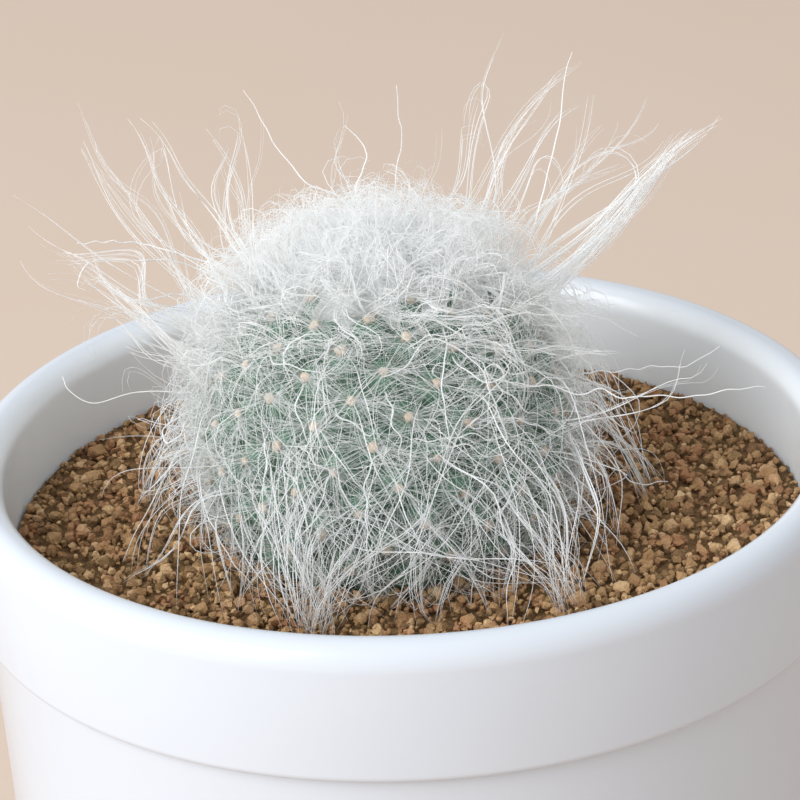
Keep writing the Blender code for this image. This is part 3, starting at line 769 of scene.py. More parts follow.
def finish_drainage(settings):
    """Gives the net and the gravel, whose solids stay, their own finishes."""
    finishes = {"drain_net": net_finish(settings), "drainage_gravel": gravel_finish(settings)}
    for node, material in finishes.items():
        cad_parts[node].material_slots[0].material = material


def soil_top(radius):
    """Height of the soil's surface before its grain, a low mound towards the plant."""
    return SOIL_Z + SOIL_MOUND * max(0.0, 1.0 - radius / inner_radius(SOIL_Z))


def socket_depth(point):
    """Height of the hollow that the cactus and its root sit in, or infinity outside it."""
    away = (point.xy - CACTUS_CENTRE.xy).length
    clear = FLESH_RADIUS + SEAT_GAP
    if away >= clear:
        return math.inf
    bowl = CACTUS_CENTRE.z - math.sqrt(clear * clear - away * away)
    share = (away - SEAT_GAP - ROOT_TIP_RADIUS) / (ROOT_NECK_RADIUS - ROOT_TIP_RADIUS)
    shaft = ROOT_TIP_Z + max(0.0, share) * (ROOT_NECK_Z - ROOT_TIP_Z)
    return min(bowl, shaft)


def make_soil_bed(settings):
    """The body of the soil, with a rough top and the hollow for the cactus."""
    edge = inner_radius(SOIL_Z) - SEAT_GAP
    foot = inner_radius(SOIL_BASE) - SEAT_GAP
    radii = [edge * i / SOIL_RINGS for i in range(SOIL_RINGS + 1)]
    profile = [(radius, soil_top(radius)) for radius in radii]
    profile += [(foot, SOIL_BASE), (0.0, SOIL_BASE)]
    bm = turned(profile, SOIL_STEPS, closed=False)
    for vert in bm.verts:
        if vert.co.z < SOIL_Z - SOIL_BUMP:
            continue
        rough = noise.noise(vert.co * 900.0) * SOIL_BUMP
        if vert.co.xy.length < edge - SOIL_BUMP:
            vert.co.z += rough - SOIL_BUMP
        vert.co.z = min(vert.co.z, socket_depth(vert.co))
    finished("soil_bed", bm, soil_finish(settings), "brown_soil", "soil")


def grain_shape(rng, corners):
    """One crumb of radius 1: the hull of points scattered over a squashed ball."""
    bm = bmesh.new()
    squash = Vector((rng.uniform(0.85, 1.15), rng.uniform(0.75, 1.05), rng.uniform(0.65, 0.95)))
    for _ in range(corners):
        bm.verts.new(scattered(rng).normalized() * squash * rng.uniform(0.85, 1.1))
    hull = bmesh.ops.convex_hull(bm, input=bm.verts)
    inside = {item for item in hull["geom_interior"] + hull["geom_unused"] if item in bm.verts}
    bmesh.ops.delete(bm, geom=list(inside), context="VERTS")
    bmesh.ops.triangulate(bm, faces=bm.faces)
    return as_mesh("grain", bm)


def scatter_grains(bm, tones, rng, count, radius, corners):
    """Adds granules all over the soil: spaced by a spiral, then jittered, turned and sized at random."""
    shapes = [grain_shape(rng, corners) for _ in range(GRAIN_SHAPES)]
    large, small = GRAIN_SIZES
    edge = inner_radius(SOIL_Z)
    spacing = edge * math.sqrt(math.pi / count)
    for i in range(count):
        grain = radius * rng.uniform(*(large if rng.random() < GRAIN_LARGE else small))
        reach = (edge - grain) * math.sqrt((i + 0.5) / count)
        reach = min(reach + rng.uniform(-GRAIN_JITTER, GRAIN_JITTER) * spacing, edge - grain * 1.15)
        turn = i * GOLDEN_ANGLE + rng.uniform(-GRAIN_JITTER, GRAIN_JITTER) * spacing / max(reach, spacing)
        place = Vector((reach * math.cos(turn), reach * math.sin(turn), 0.0))
        place.z = soil_top(reach) + GRAIN_LIFT + rng.uniform(-0.5, 0.35) * radius
        spin = Quaternion(scattered(rng), rng.uniform(0, 6.28))
        tone = rng.random()
        if (place - CACTUS_CENTRE).length < FLESH_RADIUS + grain * 0.4:
            continue
        shape = rng.choice(shapes).copy()
        shape.transform(Matrix.LocRotScale(place, spin.normalized(), Vector((grain, grain, grain))))
        bm.from_mesh(shape)
        tones += [tone] * len(shape.vertices)
        bpy.data.meshes.remove(shape)


def make_granules(settings):
    """The granules that lie on the soil."""
    rng = random.Random(SEED + 10)
    bm = bmesh.new()
    tones = []
    scatter_grains(bm, tones, rng, settings.fine_grains, settings.fine_size, FINE_CORNERS)
    scatter_grains(bm, tones, rng, settings.coarse_grains, settings.coarse_size, COARSE_CORNERS)
    bmesh.ops.recalc_face_normals(bm, faces=bm.faces)
    piece = finished("soil_granules", bm, grain_finish(settings), "brown_soil", "soil")
    piece.data.shade_flat()
    mark(piece, "tone", tones)


def direction(azimuth, polar):
    """Unit vector from the cactus's centre: azimuth 0 is +X, polar 0 is straight up, in degrees."""
    a = math.radians(azimuth)
    p = math.radians(polar)
    return Vector((math.sin(p) * math.cos(a), math.sin(p) * math.sin(a), math.cos(p)))


def tubercle_directions():
    """Directions of the tubercles, in one spiral from the crown down, closer together at the crown."""
    found = []
    for k in range(TUBERCLES):
        share = ((k + 0.5) / TUBERCLES) ** CROWN_CROWDING
        height = 1.0 - 2.0 * share
        ring = math.sqrt(1.0 - height * height)
        turn = k * GOLDEN_ANGLE
        found.append(Vector((ring * math.cos(turn), ring * math.sin(turn), height)))
    return found


def areoles():
    """Direction and tip of each tubercle that stands clear of the soil."""
    found = []
    for out in tubercle_directions():
        tip = CACTUS_CENTRE + out * FLESH_RADIUS
        if tip.z > SOIL_TOP_MAX + AREOLE_CLEAR:
            found.append((out, tip))
    return found


def make_flesh(settings):
    """The green body: rounded tubercles over a globe, and the root under it."""
    tips = kdtree.KDTree(TUBERCLES)
    for i, out in enumerate(tubercle_directions()):
        tips.insert(out, i)
    tips.balance()
    bm = bmesh.new()
    bmesh.ops.create_icosphere(bm, subdivisions=6, radius=1.0)
    rises = []
    for vert in bm.verts:
        out = vert.co.normalized()
        (_, _, near), (_, _, far) = tips.find_n(out, 2)
        rise = 1.0 - (1.0 - (far - near) / (far + near)) ** 1.7
        dry = (CACTUS_CENTRE.z + out.z * FLESH_RADIUS - SOIL_TOP_MAX) / TUBERCLE_RISE
        depth = TUBERCLE_HEIGHT * (1.0 - rise) * share_of(dry)
        vert.co = CACTUS_CENTRE + out * (FLESH_RADIUS - 0.0002 - depth)
        rises.append(rise)
    length = ROOT_NECK_Z - ROOT_TIP_Z
    middle = Vector((CACTUS_CENTRE.x, CACTUS_CENTRE.y, (ROOT_NECK_Z + ROOT_TIP_Z) / 2))
    root = bmesh.ops.create_cone(
        bm, cap_ends=True, segments=24, radius1=ROOT_TIP_RADIUS, radius2=ROOT_NECK_RADIUS, depth=length,
        matrix=Matrix.Translation(middle),
    )
    rises += [0.0] * len(root["verts"])
    mark(finished("cactus_flesh", bm, skin_finish(settings), "hairy_skin", "cactus"), "rise", rises)


def make_areoles(settings):
    """The felt cushion on each tubercle."""
    rng = random.Random(SEED + 11)
    bm = bmesh.new()
    for out, tip in areoles():
        width = rng.uniform(*FELT_SIZES)
        turn = UP.rotation_difference(out)
        shape = Matrix.LocRotScale(tip - out * 0.0001, turn, Vector((width, width, width * 0.75)))
        cushion = bmesh.ops.create_icosphere(bm, subdivisions=2, radius=1.0, matrix=shape)
        for vert in cushion["verts"]:
            vert.co += (vert.co - tip) * rng.uniform(-0.18, 0.25)
    finished("areole_felt", bm, felt_finish(settings), "hairy_skin", "cactus")


def hair_section():
    """The three-sided outline that a hair is swept with."""
    curve = bpy.data.curves.new("hair_section", "CURVE")
    curve.dimensions = "2D"
    spline = curve.splines.new("POLY")
    spline.points.add(2)
    for i, point in enumerate(spline.points):
        angle = -math.tau * i / 3
        point.co = (math.cos(angle), math.sin(angle), 0.0, 1.0)
    spline.use_cyclic_u = True
    return placed("hair_section", curve)


def sweep(name, strands, material):
    """One piece of many closed three-sided hairs, each a list of points and a radius at each."""
    section = hair_section()
    curve = bpy.data.curves.new(name, "CURVE")
    curve.dimensions = "3D"
    curve.bevel_mode = "OBJECT"
    curve.bevel_object = section
    curve.use_fill_caps = True
    curve.twist_mode = "MINIMUM"
    for points, radii in strands:
        spline = curve.splines.new("POLY")
        spline.points.add(len(points) - 1)
        spline.points.foreach_set("co", [c for point in points for c in (*point, 1.0)])
        spline.points.foreach_set("radius", radii)
    swept = placed(f"{name}_curve", curve)
    depsgraph = bpy.context.evaluated_depsgraph_get()
    mesh = bpy.data.meshes.new_from_object(swept.evaluated_get(depsgraph))
    bpy.data.objects.remove(swept)
    bpy.data.objects.remove(section)
    bm = bmesh.new()
    bm.from_mesh(mesh)
    bpy.data.meshes.remove(mesh)
    bmesh.ops.remove_doubles(bm, verts=bm.verts, dist=0.000001)
    bmesh.ops.recalc_face_normals(bm, faces=bm.faces)
    return finished(name, bm, material, "hairy_skin", "cactus")


def taper(count, radius, tip=0.35):
    """Radii along a hair, even for most of its length and thin at the tip."""
    return [radius * (1.0 - (1.0 - tip) * (i / (count - 1)) ** 3) for i in range(count)]


def varied(rng, radius):
    """A hair's radius at random: most hairs are finer than the given one, and a few are coarser."""
    if rng.random() < 0.7:
        return radius * rng.uniform(0.60, 0.95)
    return radius * rng.uniform(1.05, 1.55)


def kept_clear(point, clear=HAIR_CLEAR):
    """The point, moved out of the flesh, the soil and the pot's wall where it is in them."""
    away = point - CACTUS_CENTRE
    if away.length < FLESH_RADIUS + clear:
        point = CACTUS_CENTRE + away.normalized() * (FLESH_RADIUS + clear)
    point.z = max(point.z, SOIL_Z + clear)
    reach = point.xy.length
    wall = INNER_TOP_RADIUS - clear
    if point.z < POT_HEIGHT + clear and reach > wall:
        point.xy *= wall / reach
    return point


def sway(rng, form):
    """How one hair or wisp swings: the phases and the lengths of its two waves."""
    wave = rng.uniform(*form.waves)
    return rng.uniform(0, math.tau), rng.uniform(0, math.tau), wave, wave * rng.uniform(1.25, 2.0)


def grown_hair(rng, root, heading, form, swings):
    """A hair that grows segment by segment: it swings in slow waves, sinks, and stays near the skin."""
    length = rng.uniform(*form.lengths)
    count = max(5, round(length / form.segment))
    step = length / count
    side = heading.orthogonal().normalized()
    other = heading.cross(side)
    first, second, wave, slow_wave = swings
    pace, slow_pace = math.tau * step / wave, math.tau * step / slow_wave
    point = root.copy()
    points = [point.copy()]
    for i in range(1, count + 1):
        swing = form.curl * min(1.0, i / 3)
        heading = heading + side * swing * math.sin(first + pace * i)
        heading = heading + other * swing * math.sin(second + slow_pace * i)
        away = point - CACTUS_CENTRE
        above = away.length - FLESH_RADIUS - form.layer
        if above > 0.0:
            heading = heading - away.normalized() * form.hug * min(1.0, above * 500.0)
        heading.z -= form.droop
        heading.normalize()
        point = kept_clear(point + heading * step)
        points.append(point.copy())
    return points, taper(len(points), varied(rng, form.radius))


def skin_frame(out):
    """Two unit vectors along the skin at a direction: sideways, and up."""
    side = UP.cross(out)
    side = side.normalized() if side.length > 0.001 else Vector((1.0, 0.0, 0.0))
    return side, out.cross(side)


def angles(out):
    """Azimuth and polar angle of a direction, in degrees."""
    return math.degrees(math.atan2(out.y, out.x)), math.degrees(out.angle(UP))


def crown_angle(out):
    """Angle in degrees between a direction and the middle of the white crown."""
    return math.degrees(out.angle(direction(90.0, CROWN_LEAN)))


def make_spines(settings):
    """Fine white spines that radiate from each areole and interlace with their neighbours'."""
    rng = random.Random(SEED + 12)
    strands = []
    for out, tip in areoles():
        side, rise = skin_frame(out)
        first = rng.uniform(0, math.tau)
        for i in range(settings.radials):
            turn = first + math.tau * (i + rng.uniform(-0.35, 0.35)) / settings.radials
            along = (side * math.cos(turn) + rise * math.sin(turn) * 0.35).normalized()
            lift = rng.uniform(0.05, 0.5)
            length = rng.uniform(*SPINE_LENGTHS)
            heading = (along + out * lift).normalized()
            start = tip + along * rng.uniform(0.0003, 0.0009) - out * 0.0001
            bow = (out * rng.uniform(-0.04, 0.14) + rise * rng.uniform(-0.19, 0.19)) * length * 4
            points = [start + heading * length * t + bow * t * (1 - t) for t in (0.0, 0.5, 1.0)]
            points = [kept_clear(point, 0.0) for point in points]
            strands.append((points, taper(3, SPINE_RADIUS * rng.uniform(0.8, 1.4), 0.2)))
    sweep("radial_spines", strands, spine_finish(settings))


def make_down(settings):
    """Matted down that covers the crown and ends in a ragged edge on the upper flanks."""
    bm = bmesh.new()
    bmesh.ops.create_icosphere(bm, subdivisions=7, radius=1.0)
    for vert in bm.verts:
        out = vert.co.normalized()
        angle = crown_angle(out) + noise.noise(out * 9.0) * DOWN_RAGGED
        share = max(-1.0, min(1.0, (DOWN_EDGE - angle) / DOWN_SLOPE))
        lump = 1.0
        for height, scale in DOWN_LUMPS:
            lump += height * noise.noise(out * scale)
        vert.co = CACTUS_CENTRE + out * (FLESH_RADIUS - TUBERCLE_HEIGHT / 2 + DOWN_HEIGHT * share * lump)
    cut = CACTUS_CENTRE + UP * FLESH_RADIUS * DOWN_CUT
    geometry = [*bm.verts, *bm.edges, *bm.faces]
    bmesh.ops.bisect_plane(bm, geom=geometry, dist=0.000001, plane_co=cut, plane_no=-UP, clear_outer=True)
    bmesh.ops.holes_fill(bm, edges=[edge for edge in bm.edges if edge.is_boundary], sides=0)
    bmesh.ops.triangulate(bm, faces=[face for face in bm.faces if len(face.verts) > 4])
    bmesh.ops.recalc_face_normals(bm, faces=bm.faces)
    finished("crown_down", bm, down_finish(settings), "hairy_skin", "cactus")


def make_crown_wool(settings, material):
    """Dense wool over the crown: wisps from each areole that wave and lie over their neighbours."""
    rng = random.Random(SEED + 13)
    full, gone = CROWN_EDGE
    strands = []
    for out, tip in areoles():
        share = share_of((gone - crown_angle(out)) / (gone - full))
        side, rise = skin_frame(out)
        for _ in range(round(settings.crown * share)):
            turn = rng.uniform(0, math.tau)
            heading = out + (side * math.cos(turn) + rise * math.sin(turn)) * rng.uniform(0.4, 1.6)
            foot = tip + (side * rng.gauss(0, 1) + rise * rng.gauss(0, 1)) * 0.0011 + out * 0.0004
            swings = sway(rng, CROWN_WOOL)
            for _ in range(WISP_HAIRS):
                shift = scattered(rng)
                stray = (heading + shift * WISP_STRAY).normalized()
                strands.append(grown_hair(rng, foot + shift * WISP_SPREAD, stray, CROWN_WOOL, swings))
    sweep("crown_wool", strands, material)


def make_flank_hair(settings, material):
    """Loose hair over the flanks that curves and crosses close to the skin."""
    rng = random.Random(SEED + 14)
    first, last = SPARSE_AZIMUTHS
    strands = []
    for out, tip in areoles():
        azimuth, polar = angles(out)
        if polar < FLANK_TOP:
            continue
        side, rise = skin_frame(out)
        share = 1.0 if polar < FLANK_THINS else LOW_FLANK_SHARE
        share *= SPARSE_SHARE if first < azimuth < last else 1.0
        for _ in range(round(settings.flank * share)):
            turn = rng.uniform(0, math.tau)
            along = (side * math.cos(turn) + rise * math.sin(turn) * 0.3).normalized()
            heading = (out * rng.uniform(0.3, 0.9) + along).normalized()
            root = tip + along * 0.0003 - out * 0.0002
            strands.append(grown_hair(rng, root, heading, FLANK_HAIR, sway(rng, FLANK_HAIR)))
    sweep("flank_hair", strands, material)


def make_falling_hair(settings, material):
    """Long hair that leaves the upper flanks and falls over the lower ones to the soil."""
    rng = random.Random(SEED + 15)
    high, low = FALLING_POLARS
    left, right = FRONT_AZIMUTHS
    strands = []
    for out, tip in areoles():
        azimuth, polar = angles(out)
        if not high < polar < low:
            continue
        side, rise = skin_frame(out)
        form = FALLING_HAIR if left < azimuth < right else SIDE_HAIR
        sparse = right < azimuth < SPARSE_AZIMUTHS[1]
        for _ in range(settings.falling // 2 if sparse else settings.falling):
            heading = out * rng.uniform(0.6, 1.2) + side * rng.gauss(0, 0.6) - rise * rng.uniform(0.0, 0.8)
            strands.append(grown_hair(rng, tip - out * 0.0002, heading.normalized(), form, sway(rng, form)))
    sweep("falling_hair", strands, material)


class Lock:
    """The course of one lock of hair: out along the skin's normal, over, and on to its tip, with a wave."""

    def __init__(self, root, tip, end_drop, wave, rng):
        self.span = (tip - root).length
        self.out = (root - CACTUS_CENTRE).normalized()
        leave = root + self.out * self.span * HAIR_LEAVE
        arrive = tip + (leave - tip).normalized() * self.span * HAIR_ARRIVE
        arrive.z += end_drop * self.span
        self.handles = (root, leave, arrive, tip)
        self.side = (tip - root).cross(self.out).normalized()
        self.other = (tip - root).normalized().cross(self.side)
        self.along = (tip - root).normalized()
        self.wave = wave
        self.phase = rng.uniform(0.0, math.tau)

    def point(self, t):
        """The point a share t along the lock."""
        root, leave, arrive, tip = self.handles
        u = 1.0 - t
        point = root * u**3 + leave * 3 * u * u * t + arrive * 3 * u * t * t + tip * t**3
        swing = self.wave * math.sin(math.pi / 2 * min(1.0, t * 1.6))
        turns = math.tau * self.span / HAIR_WAVE_LENGTH
        point = point + self.side * swing * math.sin(self.phase + turns * t)
        return point + self.other * swing * math.cos(self.phase * 1.7 + turns * 0.8 * t)


def lock_root(azimuth, polar):
    """The point well under the skin that a lock grows from."""
    return CACTUS_CENTRE + direction(azimuth, polar) * (FLESH_RADIUS - HAIR_SINK)


def standing_tufts(rng):
    """The front's tufts as listed, and the back's by rule."""
    tufts = list(STANDING_TUFTS)
    low, high = BACK_AZIMUTHS
    for i in range(BACK_TUFTS):
        azimuth = low + (high - low) * (i + rng.uniform(0.2, 0.8)) / BACK_TUFTS
        reach, height, polar = BACK_TUFT_FORMS[i % len(BACK_TUFT_FORMS)]
        reach += rng.uniform(-BACK_TUFT_SPREAD, BACK_TUFT_SPREAD)
        height += rng.uniform(-BACK_TUFT_SPREAD, BACK_TUFT_SPREAD)
        tufts.append((azimuth, reach, height, polar, BACK_TUFT_LOCKS, BACK_WEIGHT))
    return tufts


def standing_locks(rng):
    """Locks that stand up or out from the crown and the flanks, each with its tuft's weight."""
    root_turn, root_tilt = STANDING_ROOT_SPREAD
    tip_turn, tip_lift = STANDING_TIP_SPREAD
    locks = []
    for azimuth, reach, height, polar, count, weight in standing_tufts(rng):
        spread = SLEEK_SPREAD if weight > 1.0 else float(count > 1)
        for _ in range(count):
            root_azimuth = azimuth + rng.uniform(-root_turn, root_turn)
            root = lock_root(root_azimuth, polar + rng.uniform(-root_tilt, root_tilt))
            tip = direction(azimuth + rng.uniform(-tip_turn, tip_turn) * spread, 90) * reach
            tip.z = height + rng.uniform(-tip_lift, tip_lift) * spread
            locks.append((Lock(root, CACTUS_CENTRE + tip * MILLIMETRE, 0.0, HAIR_WAVE, rng), weight))
    return locks


def hanging_tufts(rng):
    """The front's hanging tufts as listed, and the back's by rule."""
    tufts = list(HANGING_TUFTS)
    low, high = BACK_HANGING_AZIMUTHS
    for i in range(BACK_HANGING_TUFTS):
        azimuth = low + (high - low) * (i + rng.uniform(0.3, 0.7)) / BACK_HANGING_TUFTS
        tufts.append((azimuth, rng.uniform(*BACK_HANGING_REACH), BACK_HANGING_LOCKS, BACK_WEIGHT))
    return tufts


def hanging_locks(rng, tufts):
    """Locks from the flanks of the cactus that meet in points on the soil, each with its tuft's weight."""
    locks = []
    for azimuth, reach, count, weight in tufts:
        for i in range(count):
            swing = (i / (count - 1) - 0.5) * HANGING_FAN + rng.uniform(-HANGING_JITTER, HANGING_JITTER)
            root = lock_root(azimuth + swing, rng.uniform(*HANGING_ROOT_POLARS))
            end = reach + rng.uniform(-HANGING_POINT_JITTER, HANGING_POINT_JITTER)
            tip = CACTUS_CENTRE + direction(azimuth + swing * 0.1, 90) * end * MILLIMETRE
            tip.z = SOIL_TOP_MAX + HAIR_CLEAR
            locks.append((Lock(root, tip, HANGING_DROP, HAIR_WAVE / 2, rng), weight))
    return locks


def curl_locks(rng):
    """Short upright curls on the crown, where the newest hair is thickest."""
    low, high = CURL_POLARS
    locks = []
    for i in range(CURLS):
        azimuth = math.degrees(i * GOLDEN_ANGLE)
        polar = low + (high - low) * (i + 0.5) / CURLS
        lean = direction(azimuth + rng.uniform(-CURL_LEAN, CURL_LEAN), polar * 1.4)
        tip = CACTUS_CENTRE + lean * (FLESH_RADIUS + rng.uniform(*CURL_REACH) * MILLIMETRE)
        locks.append(Lock(lock_root(azimuth, polar), tip, 0.0, HAIR_WAVE, rng))
    return locks


class LockHair(NamedTuple):
    """How the fine hairs of one kind of lock lie: metres, and shares of the lock's length."""

    root_spread: float
    tip_spread: float
    radius: float
    ends: tuple
    bends: tuple
    waves: tuple
    hooked: float
    strand: int
    fray: float


SLEEK_TUFT = LockHair(0.0012, 0.0003, 0.000046, (0.55, 1.05), (0.0001, 0.0004), (0.015, 0.030), 0.05, 3, 0.2)
FRONT_TUFT = LockHair(0.0012, 0.0008, 0.000039, (0.5, 1.05), (0.0004, 0.0013), (0.010, 0.022), 0.35, 3, 0.15)
BACK_TUFT = LockHair(0.0013, 0.0012, 0.000033, (0.4, 1.0), (0.0003, 0.0012), (0.008, 0.020), 0.4, 2, 0.2)
CROWN_CURL = LockHair(0.0014, 0.0014, 0.000038, (0.6, 1.08), (0.0002, 0.0010), (0.004, 0.010), 0.5, 3, 0.1)
HANGING_TUFT = LockHair(
    0.0022, 0.0005, 0.000052, (0.97, 1.03), (0.0002, 0.0010), (0.008, 0.022), 0.03, 3, 0.03,
)
STRAND_SPREAD = 0.00014
STRAND_BENDS = 0.12
STRAND_STEP = 0.0013
STRAND_START = 0.10


def bends(rng, lock, form, share):
    """A function that gives a lock's or a hair's own sideways bends, which grow towards the tip."""
    width = rng.uniform(*form.bends) * share
    pace = math.tau * lock.span / rng.uniform(*form.waves)
    first, second, third = (rng.uniform(0, math.tau) for _ in range(3))

    def offset(t):
        swing = lock.side * math.sin(first + pace * t) + lock.other * math.sin(second + pace * 0.73 * t)
        swing = swing + lock.along * 0.6 * math.sin(third + pace * 0.9 * t)
        return swing * width * min(1.0, 0.25 + 1.2 * t)

    return offset


def hooked(rng, points):
    """The hair with its last part wound into a hook."""
    first = round(len(points) * rng.uniform(0.55, 0.85))
    steps = [b - a for a, b in zip(points, points[1:])]
    axis = steps[first - 1].orthogonal()
    axis.rotate(Quaternion(steps[first - 1].normalized(), rng.uniform(0, math.tau)))
    turn = rng.uniform(1.2, 5.0) / (len(points) - first)
    wound = points[: first + 1]
    for i, step in enumerate(steps[first:]):
        wound.append(wound[-1] + Quaternion(axis, turn * (i + 1)) @ step)
    return wound


def across(rng, lock, spread):
    """A random shift across a lock."""
    return (lock.side * rng.gauss(0, 1) + lock.other * rng.gauss(0, 1)) * spread


def lock_hairs(rng, lock, count, form):
    """Fine hairs that follow one lock in strands; each strand has its own bends, end and hook."""
    strands = []
    low, high = form.ends
    shared = bends(rng, lock, form, 1.0)
    for _ in range(max(1, round(count / form.strand))):
        root_shift = across(rng, lock, form.root_spread)
        tip_shift = across(rng, lock, form.tip_spread)
        last = low + (high - low) * rng.random() ** 0.7
        own = bends(rng, lock, form, 0.7)
        hook = rng.random() if rng.random() < form.hooked else None
        for _ in range(form.strand):
            stray = across(rng, lock, STRAND_SPREAD)
            fine = bends(rng, lock, form, STRAND_BENDS)
            end = last * rng.uniform(1.0 - form.fray, 1.0)
            steps = max(8, round(lock.span * end / STRAND_STEP))
            points = []
            for i in range(steps + 1):
                t = STRAND_START + (end - STRAND_START) * i / steps
                shift = root_shift * (1.0 - t) + tip_shift * t + stray
                points.append(lock.point(t) + shift + shared(t) + own(t) + fine(t))
            if hook is not None:
                points = hooked(random.Random(hook), points)
            points[1:] = [kept_clear(point) for point in points[1:]]
            strands.append((points, taper(len(points), varied(rng, form.radius))))
    return strands


def gathered_hairs(rng, azimuth, reach, count):
    """Hairs that leave the skin over a wide arc and fall to one hanging tuft's point, or near it."""
    strands = []
    for _ in range(count):
        root = lock_root(azimuth + rng.gauss(0, 1) * GATHERED_ROOT_TURN, rng.uniform(*GATHERED_ROOT_POLARS))
        turn = rng.gauss(0, 1)
        end = azimuth + turn * (LOOSE_END_TURN if rng.random() < LOOSE_ENDS else GATHERED_END_TURN)
        tip = CACTUS_CENTRE + direction(end, 90) * reach * MILLIMETRE
        tip.z = SOIL_TOP_MAX + HAIR_CLEAR
        lock = Lock(root, tip, HANGING_DROP, HAIR_WAVE, rng)
        form = HANGING_TUFT._replace(root_spread=0.0, tip_spread=GATHERED_POINT_SPREAD, strand=1)
        strands += lock_hairs(rng, lock, 1, form)
    return strands


def make_tufts(settings, wool, hair):
    """The standing tufts, the hanging ones and the crown's curls, each lock as many fine hairs."""
    rng = random.Random(SEED + 2)
    standing = standing_locks(rng)
    tufts = hanging_tufts(rng)
    hanging = hanging_locks(rng, tufts)
    curls = curl_locks(rng)
    rng = random.Random(SEED + 16)
    upright = []
    for lock, weight in standing:
        form = BACK_TUFT if weight == BACK_WEIGHT else SLEEK_TUFT if weight > 1.0 else FRONT_TUFT
        upright += lock_hairs(rng, lock, max(3, round(settings.tuft * weight)), form)
    for lock in curls:
        upright += lock_hairs(rng, lock, settings.tuft, CROWN_CURL)
    sweep("standing_tufts", upright, wool)
    drooping = []
    for lock, weight in hanging:
        drooping += lock_hairs(rng, lock, round(settings.tuft * weight), HANGING_TUFT)
    for azimuth, reach, count, weight in tufts:
        drooping += gathered_hairs(rng, azimuth, reach, round(settings.gathered * count * weight))
    sweep("hanging_tufts", drooping, hair)


def smooth_course(points, cuts):
    """Points on a smooth line through the given ones, with this many more between each two."""
    ends = [points[0] * 2 - points[1], *points, points[-1] * 2 - points[-2]]
    course = []
    for a, b, c, d in zip(ends, ends[1:], ends[2:], ends[3:]):
        square = a * 2 - b * 5 + c * 4 - d
        cube = b * 3 - a - c * 3 + d
        for i in range(cuts):
            t = i / cuts
            course.append((b * 2 + (c - a) * t + square * t**2 + cube * t**3) / 2)
    return course + [points[-1]]


def rippled(rng, course):
    """The course with small even waves along it, as on hair that grew in a curl."""
    width = rng.uniform(*RIPPLE_HEIGHTS)
    length = rng.uniform(*RIPPLE_LENGTHS)
    phase = rng.uniform(0, math.tau)
    travelled = 0.0
    waved = [course[0]]
    for a, b in zip(course, course[1:]):
        travelled += (b - a).length
        side = (b - a).cross(b - CACTUS_CENTRE).normalized()
        waved.append(b + side * width * math.sin(phase + math.tau * travelled / length))
    return waved


def make_single_hairs(settings, material):
    """The thicker single hairs that stand clear of the rest."""
    rng = random.Random(SEED + 17)
    strands = []
    for hair in SINGLE_HAIRS:
        points = []
        for azimuth, polar, height in hair:
            reach = FLESH_RADIUS + height * MILLIMETRE
            points.append(kept_clear(CACTUS_CENTRE + direction(azimuth, polar) * reach, 0.0))
        course = rippled(rng, smooth_course(points, SINGLE_HAIR_CUTS))
        strands.append((course, taper(len(course), rng.uniform(*SINGLE_HAIR_RADII), 0.5)))
    sweep("single_hairs", strands, material)


def make_key_light(settings):
    """A large soft square light at the left, aimed at the rim."""
    light = bpy.data.lights.new("key_light", "AREA")
    light.size = KEY_SIZE
    light.energy = settings.key_power
    light.color = KEY_COLOUR
    aim = (KEY_PLACE - RIM_CENTRE).to_track_quat("Z", "Y")
    placed("key_light", light).matrix_world = Matrix.LocRotScale(KEY_PLACE, aim, None)


def make_floor(settings):
    """A plain round floor, wide enough to fill the view."""
    bm = bmesh.new()
    bmesh.ops.create_circle(bm, cap_ends=True, segments=FLOOR_SIDES, radius=FLOOR_RADIUS)
    floor = placed("floor", as_mesh("floor", bm))
    floor.data.materials.append(floor_finish(settings))


def make_world(settings):
    """Even soft light from all round."""
    world = bpy.data.worlds.new("surroundings")
    world.use_nodes = True
    background = world.node_tree.nodes["Background"]
    background.inputs["Color"].default_value = (*settings.sky, 1.0)
    background.inputs["Strength"].default_value = settings.sky_strength
    bpy.context.scene.world = world


def make_camera(settings):
    """The camera of the main view: in front, above, and turned a little about its own axis."""
    data = bpy.data.cameras.new("camera")
    data.sensor_width = 36.0
    data.lens = settings.lens
    data.clip_start = 0.01
    tilt = Matrix.Rotation(math.pi / 2 - settings.elevation, 4, "X")
    turn = tilt @ Matrix.Rotation(settings.roll, 4, "Z")
    offset = Vector((*CAMERA_SHIFT, settings.distance))
    camera = placed("camera", data)
    camera.matrix_world = Matrix.Translation(RIM_CENTRE) @ turn @ Matrix.Translation(offset)
    bpy.context.scene.camera = camera


class CACTUS_OT_pot(bpy.types.Operator):
    """Turn the glazed pot"""

    bl_idname = "cactus.pot"
    bl_label = "Make Pot"

    def execute(self, context):
        make_pot(context.scene.cactus_pot)
        return {"FINISHED"}


class CACTUS_OT_soil(bpy.types.Operator):
    """Lay the drainage and the soil with its granules"""

    bl_idname = "cactus.soil"
    bl_label = "Lay Soil"

    def execute(self, context):
        settings = context.scene.cactus_soil
        finish_drainage(settings)
        make_soil_bed(settings)
        make_granules(settings)
        return {"FINISHED"}


class CACTUS_OT_flesh(bpy.types.Operator):
    """Model the green body with its areoles"""

    bl_idname = "cactus.flesh"
    bl_label = "Make Body"

    def execute(self, context):
        settings = context.scene.cactus_flesh
        make_flesh(settings)
        make_areoles(settings)
        return {"FINISHED"}


class CACTUS_OT_spines(bpy.types.Operator):
    """Grow the fine radial spines"""

    bl_idname = "cactus.spines"
    bl_label = "Grow Spines"

    def execute(self, context):
        make_spines(context.scene.cactus_flesh)
        return {"FINISHED"}


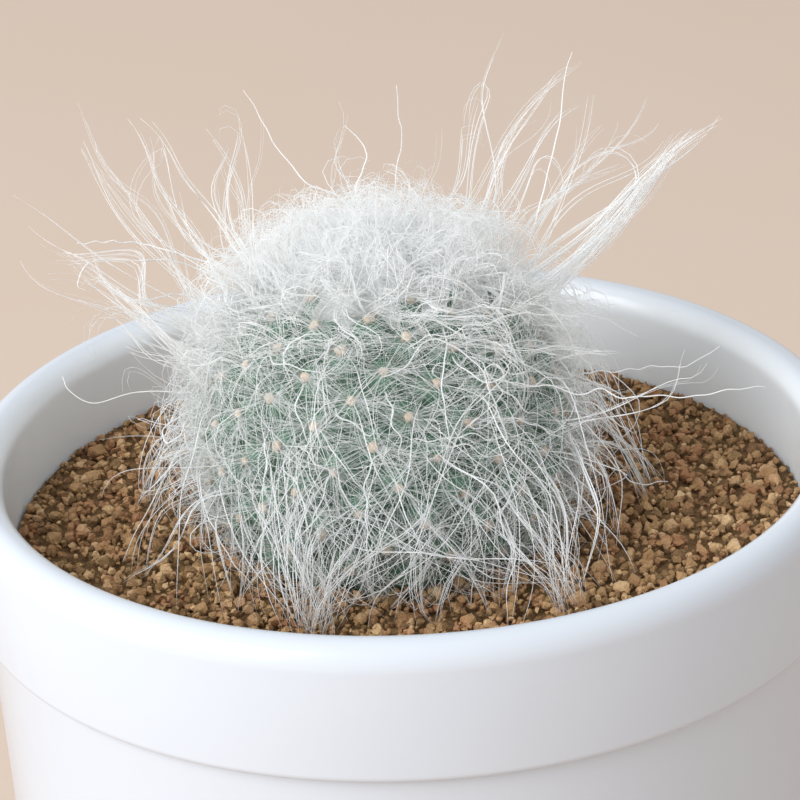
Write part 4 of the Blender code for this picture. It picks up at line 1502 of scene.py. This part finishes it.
class CACTUS_OT_hair(bpy.types.Operator):
    """Grow the wool, the loose hair, the tufts and the single hairs"""

    bl_idname = "cactus.hair"
    bl_label = "Grow Hair"

    def execute(self, context):
        settings = context.scene.cactus_hair
        # Both hair finishes have a painted glow, the wool's stronger than the loose hair's
        wool = hair_finish(settings, "silky_wool", TRANSLUCENT_PAINTED_GLOW)
        hair = hair_finish(settings, "silky_hair", TRANSLUCENT_FAINT_PAINTED_GLOW)
        make_down(settings)
        make_crown_wool(settings, wool)
        make_flank_hair(settings, hair)
        make_falling_hair(settings, hair)
        make_tufts(settings, wool, hair)
        make_single_hairs(settings, wool)
        return {"FINISHED"}


class CACTUS_OT_stage(bpy.types.Operator):
    """Set up the floor, the surroundings, the camera and the light"""

    bl_idname = "cactus.stage"
    bl_label = "Set Up Stage"

    def execute(self, context):
        settings = context.scene.cactus_stage
        make_floor(settings)
        make_world(settings)
        make_camera(settings)
        make_key_light(settings)
        context.scene.view_settings.view_transform = "Standard"
        return {"FINISHED"}


class CACTUS_PT_panel(bpy.types.Panel):
    """Lists the steps that build the potted cactus"""

    bl_idname = "CACTUS_PT_panel"
    bl_label = "Potted Mammillaria"
    bl_space_type = "VIEW_3D"
    bl_region_type = "UI"
    bl_category = "Cactus"

    def draw(self, context):
        for step in STEPS:
            self.layout.operator(step.bl_idname)


SETTINGS = {
    "cactus_pot": PotSettings,
    "cactus_soil": SoilSettings,
    "cactus_flesh": FleshSettings,
    "cactus_hair": HairSettings,
    "cactus_stage": StageSettings,
}
STEPS = (
    CACTUS_OT_stage,
    CACTUS_OT_pot,
    CACTUS_OT_soil,
    CACTUS_OT_flesh,
    CACTUS_OT_spines,
    CACTUS_OT_hair,
)
CLASSES = (*SETTINGS.values(), *STEPS, CACTUS_PT_panel)


def register():
    """Registers the classes and puts the settings on the scene."""
    for cls in CLASSES:
        bpy.utils.register_class(cls)
    for name, group in SETTINGS.items():
        setattr(bpy.types.Scene, name, PointerProperty(type=group))


def unregister():
    """Takes the settings off the scene and unregisters the classes."""
    for name in SETTINGS:
        delattr(bpy.types.Scene, name)
    for cls in reversed(CLASSES):
        bpy.utils.unregister_class(cls)


def main():
    """Builds the potted cactus and its stage."""
    register()
    bpy.ops.cactus.stage()
    bpy.ops.cactus.pot()
    bpy.ops.cactus.soil()
    bpy.ops.cactus.flesh()
    bpy.ops.cactus.spines()
    bpy.ops.cactus.hair()


if __name__ == "__main__":
    main()
